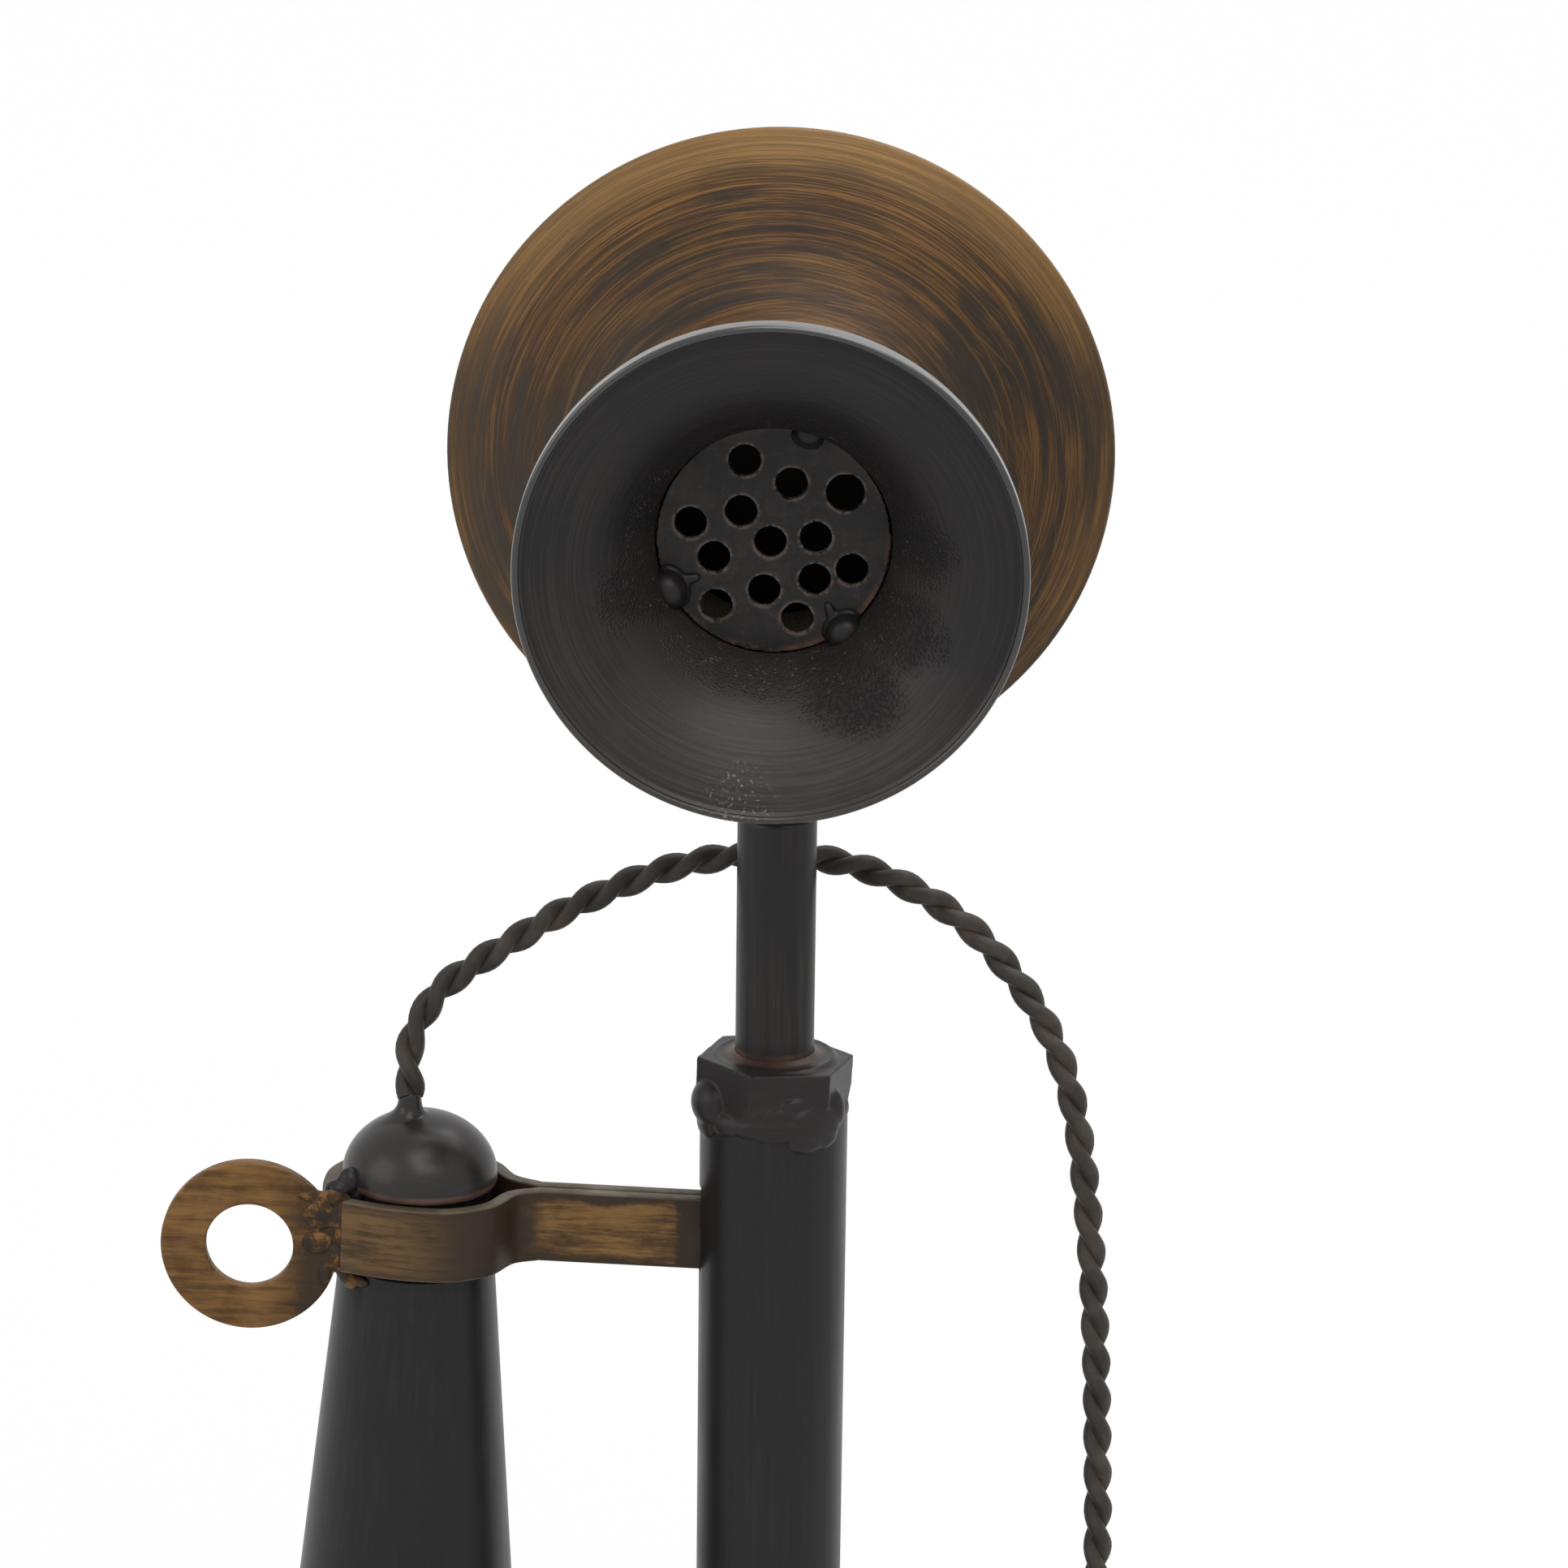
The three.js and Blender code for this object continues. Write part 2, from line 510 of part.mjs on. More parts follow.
function makeColumnParts(stand) {
  const lockNutBottom = lockNutTop - LOCKNUT_THICKNESS;
  const lockNutRadius = bellNeckRadius - BELL_WALL - 2 * GAP;
  add(stand, 'column_locknut', ringBar(columnBore, lockNutRadius, lockNutBottom, lockNutTop), steel);
  add(stand, 'column_tube', makeColumn(), blackPaint);
  const collarBottom = bellTop + GAP;
  const collarRadius = columnBore + COLLAR_WIDTH;
  const collarEdge = COLLAR_HEIGHT / 2;
  add(stand, 'column_ring', turned([
    [columnBore, collarBottom], [collarRadius, collarBottom],
    ...arc(collarRadius - collarEdge, collarBottom + collarEdge, collarEdge, 0, 90 * DEG, 4),
    [columnBore, collarBottom + COLLAR_HEIGHT],
  ]), blackPaint);
  add(stand, 'collar_nut', makeCollarNut(), blackPaint);
  add(stand, 'switch_frame', makeSwitchFrame(), steel);
  add(stand, 'frame_screw',
    rod(SCREW_RADIUS, [0, frameScrewEnd, frameScrewHeight], [0, COLUMN_RADIUS, frameScrewHeight]), steel);
  const pinEnd = cheekFace + CHEEK_THICKNESS + GAP;
  add(stand, 'hook_pin',
    rod(SCREW_RADIUS, [0, -pinEnd, HOOK_PIVOT_HEIGHT], [0, pinEnd, HOOK_PIVOT_HEIGHT]), steel);
  add(stand, 'return_spring',
    ringBar(pinHoleRadius, pinHoleRadius + SPRING_WALL, stripFace + GAP, cheekFace - GAP, FINE), steel,
    [0, 0, HOOK_PIVOT_HEIGHT], [Math.PI / 2, 0, 0]);
}

// ---- Contacts that the hook's tail works ----

function makeContacts(stand) {
  const blockFront = leafX - FIXED_LEAF_BACK - BLOCK_FRONT;
  const half = CONTACT_BLOCK_WIDTH / 2;
  add(stand, 'contact_block', cut(
    block([blockFront, -half, blockBottom], [spineInside - GAP, half, blockTop]),
    screwHole([blockFront - PAST, 0, contactScrewHeight], [spineInside, 0, contactScrewHeight]),
  ), fibre);
  add(stand, 'contact_screw', screw(spineInside + SPINE_THICKNESS - blockFront), steel,
    [blockFront - GAP, 0, contactScrewHeight], [0, Math.PI / 2, 0]);
  const contactHeight = leafFoot + FIXED_LEAF_HEIGHT - LEAF_OVERLAP;
  const leaf = (face, height, contactFrom, contactTo) => join(
    block([face, -LEAF_WIDTH / 2, leafFoot], [face + LEAF_THICKNESS, LEAF_WIDTH / 2, leafFoot + height]),
    rod(CONTACT_RADIUS, [contactFrom, 0, contactHeight], [contactTo, 0, contactHeight]));
  const fixedFace = leafX - FIXED_LEAF_BACK;
  add(stand, 'contact_leaf_fixed',
    leaf(fixedFace, FIXED_LEAF_HEIGHT, fixedFace, fixedFace + 1.5 * LEAF_THICKNESS), brass);
  add(stand, 'contact_leaf_moving',
    leaf(leafX, LEAF_HEIGHT, leafX - LEAF_THICKNESS, leafX + LEAF_THICKNESS), brass);
}

// ---- Switch hook: two strips that part round the receiver's neck, and a ring ----

const loopHalf = NECK_RADIUS + NECK_SLACK + STRIP_THICKNESS / 2;
const loopPoint = (out, across) =>
  new THREE.Vector2(-RECEIVER_OUT + out * loopHalf, across * loopHalf);

// The outline, seen from above, of a strip that runs straight and then through the loop's points.
function stripOutline(side, bend) {
  const middle = side * (stripFace - STRIP_THICKNESS / 2);
  const partsAt = new THREE.Vector2(loopPoint(1.5, 0).x, middle);
  const curve = new THREE.SplineCurve([partsAt, ...bend]);
  const path = [new THREE.Vector2(STRIP_ROOT, middle), ...curve.getPoints(STRIP_STEPS * bend.length)];
  const edge = (hand) => path.map((point, i) => {
    const before = path[Math.max(i - 1, 0)];
    const after = path[Math.min(i + 1, path.length - 1)];
    const along = after.clone().sub(before).normalize();
    return new THREE.Vector2(-along.y, along.x).multiplyScalar((hand * STRIP_THICKNESS) / 2).add(point);
  });
  return new THREE.Shape([...edge(1), ...edge(-1).reverse()]);
}

function makeStrip(side, bend) {
  const outline = stripOutline(side, bend);
  const body = new THREE.ExtrudeGeometry(outline, { depth: STRIP_HEIGHT, bevelEnabled: false })
    .translate(0, 0, -STRIP_HEIGHT / 2);
  const across = 2 * stripFace;
  return cut(body,
    rod(pinHoleRadius, [0, -across, 0], [0, across, 0]),
    rod(RIVET_RADIUS + GAP, [-RIVET_OUT, -across, 0], [-RIVET_OUT, across, 0]));
}

const frontBend = [[1.16, -0.28], [0.9, -0.72], [0.5, -0.97], [0.1, -1.01], [-0.4, -0.95], [-0.88, -0.8]]
  .map(([out, across]) => loopPoint(out, across));
const backBend = [[1.12, 0.3], [0.85, 0.76], [0.4, 1], [-0.15, 1.03], [-0.7, 0.8], [-1.02, 0.35],
  [-1.09, -0.1], [-1.06, -0.63]].map(([out, across]) => loopPoint(out, across));

function makeTail() {
  const near = stripFace + GAP;
  const half = TAIL_WIDTH / 2;
  return cut(
    join(
      rod(pinHoleRadius + TAIL_THICKNESS, [0, near, 0], [0, tailFace, 0]),
      block([-RIVET_OUT - half / 2, near, -half], [0, tailFace, half]),
      block([STUD_OUT - half, near, -STUD_DROP - half], [STUD_OUT + half, tailFace, 0])),
    rod(pinHoleRadius, [0, 0, 0], [0, tailFace + PAST, 0]),
    rod(RIVET_RADIUS + GAP, [-RIVET_OUT, 0, 0], [-RIVET_OUT, tailFace + PAST, 0]),
    rod(STUD_RADIUS + GAP, [STUD_OUT, 0, -STUD_DROP], [STUD_OUT, tailFace + PAST, -STUD_DROP]));
}

function makeHook(hook) {
  add(hook, 'hook_front_strip', makeStrip(-1, frontBend), brassWash);
  add(hook, 'hook_back_strip', makeStrip(1, backBend), brassWash);
  const ringMiddle = backBend.at(-1).y - GAP - STRIP_THICKNESS / 2;
  const ringX = frontBend.at(-1).x - 2 * GAP - RING_RADIUS;
  add(hook, 'hook_ring',
    ringBar(RING_HOLE_RADIUS, RING_RADIUS, -STRIP_THICKNESS / 2, STRIP_THICKNESS / 2), brassWash,
    [ringX, ringMiddle, -RING_DROP], [Math.PI / 2, 0, 0]);
  add(hook, 'hook_tail', makeTail(), steel);
  const [rivetHead, rivetCap] = RIVET_HEAD;
  const rivetFront = -stripFace - GAP;
  const rivetBack = tailFace + GAP;
  add(hook, 'hook_rivet', turned([
    [0, rivetFront - rivetCap], [rivetHead, rivetFront - rivetCap], [rivetHead, rivetFront],
    [RIVET_RADIUS, rivetFront], [RIVET_RADIUS, rivetBack], [rivetHead, rivetBack],
    [rivetHead, rivetBack + rivetCap], [0, rivetBack + rivetCap],
  ], FINE), steel, [-RIVET_OUT, 0, 0], [-Math.PI / 2, 0, 0]);
  add(hook, 'hook_stud',
    rod(STUD_RADIUS, [STUD_OUT, -LEAF_WIDTH / 2, -STUD_DROP], [STUD_OUT, tailFace, -STUD_DROP]), fibre);
}

// ---- Receiver, along its own axis with 0 at the arm's centreline ----

const neckTop = STRIP_HEIGHT / 2;
const domeBottom = neckTop + GAP;
const coneTop = -STRIP_HEIGHT / 2 - 3 * GAP;
const coneBottom = coneTop - CONE_LENGTH;
const coneBottomRadius = CONE_TOP_RADIUS + CONE_TAPER * CONE_LENGTH;
const flangeTop = coneBottom - FLARE_HEIGHT;
const mouth = flangeTop - FLANGE_HEIGHT;
const coilPlateTop = mouth + COIL_SPACE;
const coilPlateBottom = coilPlateTop - SHELL_WALL;
const diaphragmTop = mouth - GAP;
const capFloor = diaphragmTop - DIAPHRAGM_THICKNESS - GAP;

function makeDome() {
  const spigot = NECK_RADIUS - SHELL_WALL - GAP;
  const spigotEnd = domeBottom - STRIP_HEIGHT / 2;
  const bore = spigot - DOME_WALL;
  const centre = domeBottom + DOME_BAND;
  const curve = (inset, from, to, steps) => arc(0, 0, DOME_RADIUS - inset, from, to, steps)
    .map(([radius, height]) => [radius, centre + (height * DOME_RISE) / DOME_RADIUS]);
  const boreAngle = Math.acos(bore / (DOME_RADIUS - DOME_WALL));
  const hollowTop = centre + DOME_RISE * (1 - DOME_WALL / DOME_RADIUS);
  const pole = centre + DOME_RISE;
  const shell = turned([
    [0, pole], ...curve(0, 90 * DEG, 0, 6).slice(1),
    [DOME_RADIUS, domeBottom], [spigot, domeBottom], [spigot, spigotEnd], [bore, spigotEnd],
    ...curve(DOME_WALL, boreAngle, 90 * DEG, 4).slice(0, -1), [0, hollowTop],
  ]);
  const boss = turned([
    [0, hollowTop - GAP], [2 * CORD_RADIUS, hollowTop - GAP], [1.4 * CORD_RADIUS, pole],
    [1.1 * CORD_RADIUS, pole + CORD_BOSS_RISE], [0, pole + CORD_BOSS_RISE],
  ], FINE).translate(-CORD_BOSS_OUT, 0, 0);
  return join(shell, boss);
}

function makeShell() {
  const flare = (t) => [
    coneBottomRadius + (FLANGE_RADIUS - coneBottomRadius) * t ** FLARE_POWER, coneBottom - FLARE_HEIGHT * t];
  const coneInside = NECK_RADIUS - SHELL_WALL;
  return turned([
    [NECK_RADIUS, neckTop], [NECK_RADIUS, coneTop + GAP], [CONE_TOP_RADIUS, coneTop],
    ...Array.from({ length: 6 }, (_, i) => flare(i / 5)),
    [FLANGE_RADIUS, mouth], [MOUTH_RADIUS, mouth], [MOUTH_RADIUS, coilPlateTop + GAP],
    [coneBottomRadius - SHELL_WALL, coilPlateTop + GAP],
    [coneBottomRadius - SHELL_WALL, coneBottom],
    [coneInside, coneTop], [coneInside, neckTop],
  ]);
}

function makeCap() {
  const inside = FLANGE_RADIUS + GAP;
  const outside = inside + CAP_WALL;
  const ear = capFloor - CAP_DEPTH;
  const lip = outside - CAP_EDGE - CAP_LIP;
  const bowl = (t) => [
    EAR_HOLE_RADIUS + (lip - EAR_HOLE_RADIUS) * t,
    capFloor - CAP_DEPTH * (CAP_MIDDLE + (1 - CAP_MIDDLE) * t ** 2)];
  return turned([
    [inside, flangeTop - GAP], [outside, flangeTop - GAP],
    ...arc(outside - CAP_EDGE, ear + CAP_EDGE, CAP_EDGE, 0, -90 * DEG, 4),
    ...Array.from({ length: 6 }, (_, i) => bowl(1 - i / 5)),
    [EAR_HOLE_RADIUS, capFloor], [inside, capFloor],
  ]);
}

function makeReceiver(receiver) {
  add(receiver, 'receiver_dome', makeDome(), blackPaint);
  add(receiver, 'receiver_shell', makeShell(), blackPaint);
  add(receiver, 'receiver_cap', makeCap(), blackPaint);
  const [legWidth, legDepth] = MAGNET_LEG;
  const legOut = MAGNET_SPREAD + legWidth;
  const poleEnd = diaphragmTop + 2 * GAP;
  const magnetTop = poleEnd + MAGNET_LENGTH;
  const legHole = (side, grow) => block(
    [side * (MAGNET_SPREAD + legWidth / 2) - legWidth / 2 - grow, -legDepth / 2 - grow, poleEnd - PAST],
    [side * (MAGNET_SPREAD + legWidth / 2) + legWidth / 2 + grow, legDepth / 2 + grow, magnetTop]);
  add(receiver, 'receiver_magnet', join(
    block([-legOut, -legDepth / 2, magnetTop - 2 * legWidth], [legOut, legDepth / 2, magnetTop]),
    block([-legOut, -legDepth / 2, poleEnd], [-MAGNET_SPREAD, legDepth / 2, magnetTop]),
    block([MAGNET_SPREAD, -legDepth / 2, poleEnd], [legOut, legDepth / 2, magnetTop])), steel);
  const plateRadius = MOUTH_RADIUS - GAP;
  add(receiver, 'receiver_plate', cut(turned([
    [0, coilPlateBottom], [plateRadius, coilPlateBottom], [plateRadius, coilPlateTop], [0, coilPlateTop],
  ]), legHole(-1, GAP), legHole(1, GAP)), brass);
  [-1, 1].forEach((side, i) => {
    const middle = side * (MAGNET_SPREAD + legWidth / 2);
    const halfWidth = legWidth / 2 + GAP + COIL_WALL;
    const halfDepth = legDepth / 2 + GAP + COIL_WALL;
    add(receiver, `receiver_coil_${i + 1}`, cut(
      block(
        [middle - halfWidth, -halfDepth, diaphragmTop + 4 * GAP],
        [middle + halfWidth, halfDepth, coilPlateBottom - GAP]),
      legHole(side, GAP)), copper);
  });
  add(receiver, 'receiver_diaphragm', turned([
    [0, diaphragmTop - DIAPHRAGM_THICKNESS], [FLANGE_RADIUS - GAP, diaphragmTop - DIAPHRAGM_THICKNESS],
    [FLANGE_RADIUS - GAP, diaphragmTop], [0, diaphragmTop],
  ]), steel);
}

// ---- Post: its shoulder is trapped under the nut, its tongue carries the head ----

function makePost() {
  const foot = frameTop - FRAME_RING_HEIGHT + POST_CHAMFER;
  const shoulderRadius = (POST_RADIUS + columnInside) / 2;
  const neck = tiltHeight - TONGUE_RADIUS - TONGUE_NECK;
  const bar = turned([
    [0, foot], [POST_RADIUS, foot], [POST_RADIUS, shoulderBottom], [shoulderRadius, shoulderBottom],
    [shoulderRadius, columnTop], [POST_RADIUS, columnTop], [POST_RADIUS, neck - POST_CHAMFER],
    [POST_RADIUS - POST_CHAMFER, neck], [0, neck],
  ]);
  const half = TONGUE_THICKNESS / 2;
  return cut(
    join(
      bar,
      block([-half, -TONGUE_RADIUS, neck - POST_CHAMFER], [half, TONGUE_RADIUS, tiltHeight]),
      rod(TONGUE_RADIUS, [-half, 0, tiltHeight], [half, 0, tiltHeight], ROUND)),
    screwHole([-POST_RADIUS, 0, tiltHeight], [POST_RADIUS, 0, tiltHeight]));
}

// ---- Transmitter head, with 0 at the tilt bolt ----

const earInside = TONGUE_THICKNESS / 2 + GAP;
const lugRoof = TONGUE_RADIUS + LUG_ROOF;
const cupBottom = HEAD_RISE - CUP_RADIUS - GAP;

function makeLug() {
  const outside = POST_RADIUS;
  const saddle = cupBottom + SADDLE_RISE;
  const front = FACE_BEAD + 2 * GAP - HEAD_FORWARD;
  const body = join(
    rod(TONGUE_RADIUS, [-outside, 0, 0], [outside, 0, 0], ROUND),
    block([-outside, -TONGUE_RADIUS, 0], [outside, TONGUE_RADIUS, saddle]),
    block([-outside, front, lugRoof], [outside, TONGUE_RADIUS + LUG_HEEL, saddle]));
  return cut(body,
    block([-earInside, -LUG_ROOM, -LUG_ROOM], [earInside, LUG_ROOM, lugRoof]),
    rod(CUP_RADIUS + GAP, [0, -LUG_ROOM, HEAD_RISE], [0, LUG_ROOM, HEAD_RISE], WIDE),
    screwHole([-LUG_ROOM, 0, 0], [LUG_ROOM, 0, 0]),
    screwHole([0, 0, lugRoof], [0, 0, HEAD_RISE]));
}

function makeLugParts(head) {
  add(head, 'head_lug', makeLug(), blackPaint);
  const boltEnd = POST_RADIUS + GAP;
  add(head, 'tilt_bolt', screw(2 * boltEnd + BOLT_NUT_THICKNESS + BOLT_TAIL, ...BOLT_HEAD), steel,
    [-boltEnd, 0, 0], [0, Math.PI / 2, 0]);
  const nutInside = SCREW_RADIUS + GAP;
  const nutOutside = nutInside + BOLT_NUT_WALL;
  add(head, 'tilt_nut', ringBar(nutInside, nutOutside, boltEnd, boltEnd + BOLT_NUT_THICKNESS, 6), steel,
    [0, 0, 0], [0, Math.PI / 2, 0]);
  const screwSeat = HEAD_RISE - CUP_RADIUS + CUP_WALL + 2 * GAP;
  add(head, 'lug_screw', screw(screwSeat - lugRoof - GAP), steel, [0, 0, screwSeat], [Math.PI, 0, 0]);
}

// The pieces below are turned about the head's own axis: +Z leads out of the mouthpiece, +Y is up.

const throatRadius = GRILLE_RADIUS + GAP;
const faceNeckRadius = throatRadius + HORN_WALL + GAP + FACE_WALL;
const brimInside = FACE_RADIUS - BRIM_WIDTH;
const bellArcRadius = (brimInside - faceNeckRadius) / (1 - Math.sin(BRIM_SLOPE));
const brimTop = FACE_BEAD + BRIM_WIDTH * Math.tan(BRIM_SLOPE);
const faceNeckTop = brimTop + bellArcRadius * Math.cos(BRIM_SLOPE) + NECK_LENGTH;

// The bell's front surface, drawn in by inset, from its rim to its neck.
function faceCurve(inset, steps) {
  const centre = [faceNeckRadius + bellArcRadius, brimTop + bellArcRadius * Math.cos(BRIM_SLOPE)];
  const bend = arc(...centre, bellArcRadius + inset, -90 * DEG - BRIM_SLOPE, -180 * DEG, steps);
  const back = inset / Math.cos(BRIM_SLOPE) - inset * Math.tan(BRIM_SLOPE);
  return [[FACE_RADIUS - inset, FACE_BEAD - back], ...bend, [faceNeckRadius - inset, faceNeckTop]];
}

const spots = (angles) => angles.map((angle) => onCircle(BOSS_CIRCLE, angle * DEG));
const bridgeSpots = spots([0, 180]);
const cupScrewSpots = spots([90, 270]);
const diaphragmFront = -SEAT_DROP - GAP;
const diaphragmBack = diaphragmFront - DIAPHRAGM_THICKNESS;
const buttonFront = diaphragmBack - GAP;
const buttonBack = buttonFront - BUTTON_DEPTH;
const bridgeFront = buttonBack - GAP;
const cupFloor = -CUP_DEPTH + CUP_WALL;

function makeFace() {
  const rim = arc(FACE_RADIUS - FACE_BEAD, 0, FACE_BEAD, -90 * DEG, 60 * DEG, 3);
  const shell = turned([...rim, ...faceCurve(0, 6).slice(1), ...faceCurve(FACE_WALL, 4).reverse()], WIDE);
  const behind = turned([
    [0, -CUP_DEPTH], [FACE_RADIUS, -CUP_DEPTH], ...faceCurve(FACE_WALL / 2, 5), [0, faceNeckTop]], WIDE);
  const seat = ringBar(SEAT_RADIUS - SEAT_WALL, SEAT_RADIUS, -SEAT_DROP, faceNeckTop);
  const boss = (back) => ([x, y]) => rod(BOSS_RADIUS, [x, y, back], [x, y, faceNeckTop]);
  const posts = [
    seat, ...bridgeSpots.map(boss(bridgeFront + GAP)), ...cupScrewSpots.map(boss(cupFloor + GAP))];
  const bore = (back) => ([x, y]) => screwHole([x, y, back - PAST], [x, y, back + TAPPED_DEPTH]);
  return cut(
    join(shell, ...posts.map((post) => common(post, behind))),
    ...bridgeSpots.map(bore(bridgeFront)), ...cupScrewSpots.map(bore(cupFloor)));
}

function makeCup() {
  const front = FACE_BEAD + (FACE_RADIUS - CUP_RADIUS) * Math.tan(BRIM_SLOPE) -
    FACE_WALL / Math.cos(BRIM_SLOPE) - GAP;
  const edge = [CUP_RADIUS - CUP_EDGE, -CUP_DEPTH + CUP_EDGE];
  const shell = turned([
    [0, -CUP_DEPTH], ...arc(...edge, CUP_EDGE, -90 * DEG, 0, 4), [CUP_RADIUS, front],
    [CUP_RADIUS - CUP_WALL, front], ...arc(...edge, CUP_EDGE - CUP_WALL, 0, -90 * DEG, 3), [0, cupFloor],
  ], WIDE);
  return cut(shell,
    ...cupScrewSpots.map(([x, y]) => screwHole([x, y, -CUP_DEPTH - PAST], [x, y, cupFloor + PAST])),
    screwHole([0, -CUP_RADIUS - PAST, -HEAD_FORWARD], [0, -CUP_RADIUS + 2 * CUP_WALL, -HEAD_FORWARD]));
}

// The horn's inner surface from its throat to the fold behind its lip, drawn in by inset.
function hornCurve(inset, steps) {
  const foldRadius = HORN_RADIUS - HORN_WALL - HORN_FOLD;
  const foldTop = HORN_REACH - HORN_WALL;
  const wide = (foldRadius - throatRadius) / (1 - Math.cos(HORN_FLARE));
  const deep = (foldTop - GRILLE_REACH) / Math.sin(HORN_FLARE);
  return Array.from({ length: steps + 1 }, (_, i) => {
    const angle = (HORN_FLARE * i) / steps;
    const out = new THREE.Vector2(wide * Math.sin(angle), deep * Math.cos(angle)).normalize();
    return [
      throatRadius + wide * (1 - Math.cos(angle)) - inset * out.y,
      GRILLE_REACH + deep * Math.sin(angle) + inset * out.x,
    ];
  });
}

function makeHorn() {
  const inner = hornCurve(0, 6);
  const outer = hornCurve(-HORN_WALL, 6).reverse();
  const fold = inner.at(-1)[1];
  const throatBack = GRILLE_REACH - HORN_TUBE;
  return turned([
    [throatRadius, throatBack], ...inner,
    [HORN_RADIUS - HORN_WALL, fold], [HORN_RADIUS - HORN_WALL, HORN_REACH], [HORN_RADIUS, HORN_REACH],
    [HORN_RADIUS, HORN_REACH - HORN_LIP], [HORN_RADIUS - HORN_WALL, HORN_REACH - HORN_LIP],
    [HORN_RADIUS - HORN_WALL, fold - HORN_WALL],
    ...outer, [throatRadius + HORN_WALL, throatBack],
  ], WIDE);
}

function makeGrille() {
  const disc = new THREE.Shape().absarc(0, 0, GRILLE_RADIUS, 0, 2 * Math.PI);
  GRILLE_HOLES.forEach(([x, y, radius = GRILLE_HOLE_RADIUS]) =>
    disc.holes.push(new THREE.Path().absarc(x, y, radius, 0, 2 * Math.PI, true)));
  return new THREE.ExtrudeGeometry(disc, { depth: GRILLE_THICKNESS, bevelEnabled: false, curveSegments: 8 })
    .translate(0, 0, GRILLE_REACH - GRILLE_THICKNESS);
}

function makeTack(angle, radius) {
  const floor = GRILLE_REACH + GAP;
  const wall = hornCurve(GAP, 8).filter(([, height]) => height > floor);
  const air = turned([[0, floor], [throatRadius - GAP, floor], ...wall, [0, HORN_REACH]]);
  const bead = new THREE.SphereGeometry(radius, 12, 8)
    .translate(...onCircle(GRILLE_RADIUS, angle), floor);
  return common(bead, air);
}

function makeHead(head) {
  makeLugParts(head);
  const axis = new THREE.Group();
  axis.position.set(0, -HEAD_FORWARD, HEAD_RISE);
  axis.rotation.x = Math.PI / 2;
  head.add(axis);
  add(axis, 'transmitter_back', makeCup(), blackPaint);
  add(axis, 'transmitter_face', makeFace(), brassWash);
  add(axis, 'mouthpiece_horn', makeHorn(), blackPaint);
  add(axis, 'mouthpiece_grille', makeGrille(), blackPaint);
  GRILLE_TACKS.forEach((tack, i) => add(axis, `grille_tack_${i + 1}`, makeTack(...tack), blackPaint));
  add(axis, 'transmitter_diaphragm', turned([
    [0, diaphragmBack], [SEAT_RADIUS, diaphragmBack], [SEAT_RADIUS, diaphragmFront], [0, diaphragmFront],
  ]), steel);
  const bridgeBack = bridgeFront - BRIDGE_THICKNESS;
  const studBack = bridgeBack - BUTTON_STUD_END;
  add(axis, 'carbon_button', turned([
    [0, buttonFront], [BUTTON_RADIUS, buttonFront], [BUTTON_RADIUS, buttonBack],
    [BUTTON_STUD_RADIUS, buttonBack], [BUTTON_STUD_RADIUS, studBack], [0, studBack],
  ]), brass);
  const bridgeReach = BOSS_CIRCLE + BOSS_RADIUS;
  add(axis, 'button_bridge', cut(
    block([-bridgeReach, -BRIDGE_WIDTH / 2, bridgeBack], [bridgeReach, BRIDGE_WIDTH / 2, bridgeFront]),
    rod(BUTTON_STUD_RADIUS + GAP, [0, 0, bridgeBack - PAST], [0, 0, bridgeFront + PAST]),
    ...bridgeSpots.map(([x, y]) => screwHole([x, y, bridgeBack - PAST], [x, y, bridgeFront + PAST]))),
  steel);
  bridgeSpots.forEach(([x, y], i) => add(axis, `bridge_screw_${i + 1}`,
    screw(BRIDGE_THICKNESS + GAP + SCREW_GRIP), steel, [x, y, bridgeBack - GAP]));
  cupScrewSpots.forEach(([x, y], i) => add(axis, `cup_screw_${i + 1}`,
    screw(CUP_WALL + GAP + SCREW_GRIP), steel, [x, y, -CUP_DEPTH - GAP]));
}

// ---- Cord ----

const ferruleBottom = FOOT_HEIGHT + GAP;
const ferruleTop = ferruleBottom + FERRULE_HEIGHT;
const ferruleBore = CORD_RADIUS + GAP;
const ferruleOutside = ferruleBore + FERRULE_WALL;
const ferruleFlange = ferruleOutside + FERRULE_WALL / 2;
const cordFoot = [bellRimRadius + FERRULE_CLEARANCE + ferruleFlange, CORD_FOOT_BACK];

function makeCord() {
  const end = [ferruleTop + FERRULE_HEIGHT, ferruleBottom + 3 * GAP].map((height) => [...cordFoot, height]);
  const points = [...CORD_ROUTE.map(([x, y, height]) => [x, y, HOOK_PIVOT_HEIGHT + height]), ...end];
  const route = new THREE.CatmullRomCurve3(points.map((point) => new THREE.Vector3(...point)));
  const section = new THREE.Shape(
    aroundCircle(CORD_SIDES, CORD_RADIUS, 0).map((corner) => new THREE.Vector2(...corner)));
  return new THREE.ExtrudeGeometry(section, { extrudePath: route, steps: CORD_STEPS });
}

const makeFerrule = () => turned([
  [ferruleBore, ferruleBottom], [ferruleFlange, ferruleBottom],
  [ferruleFlange, ferruleBottom + FERRULE_LIP], [ferruleOutside, ferruleBottom + FERRULE_LIP],
  [ferruleOutside, ferruleTop - FERRULE_WALL], [ferruleOutside - FERRULE_WALL / 2, ferruleTop],
  [ferruleBore, ferruleTop],
], FINE);

// ---- The telephone ----

const telephone = new THREE.Group();

makeBase(telephone);
makeColumnParts(telephone);
add(telephone, 'cord_ferrule', makeFerrule(), blackPaint, [...cordFoot, 0]);
add(telephone, 'cord', makeCord(), cordBraid);
makeContacts(telephone);

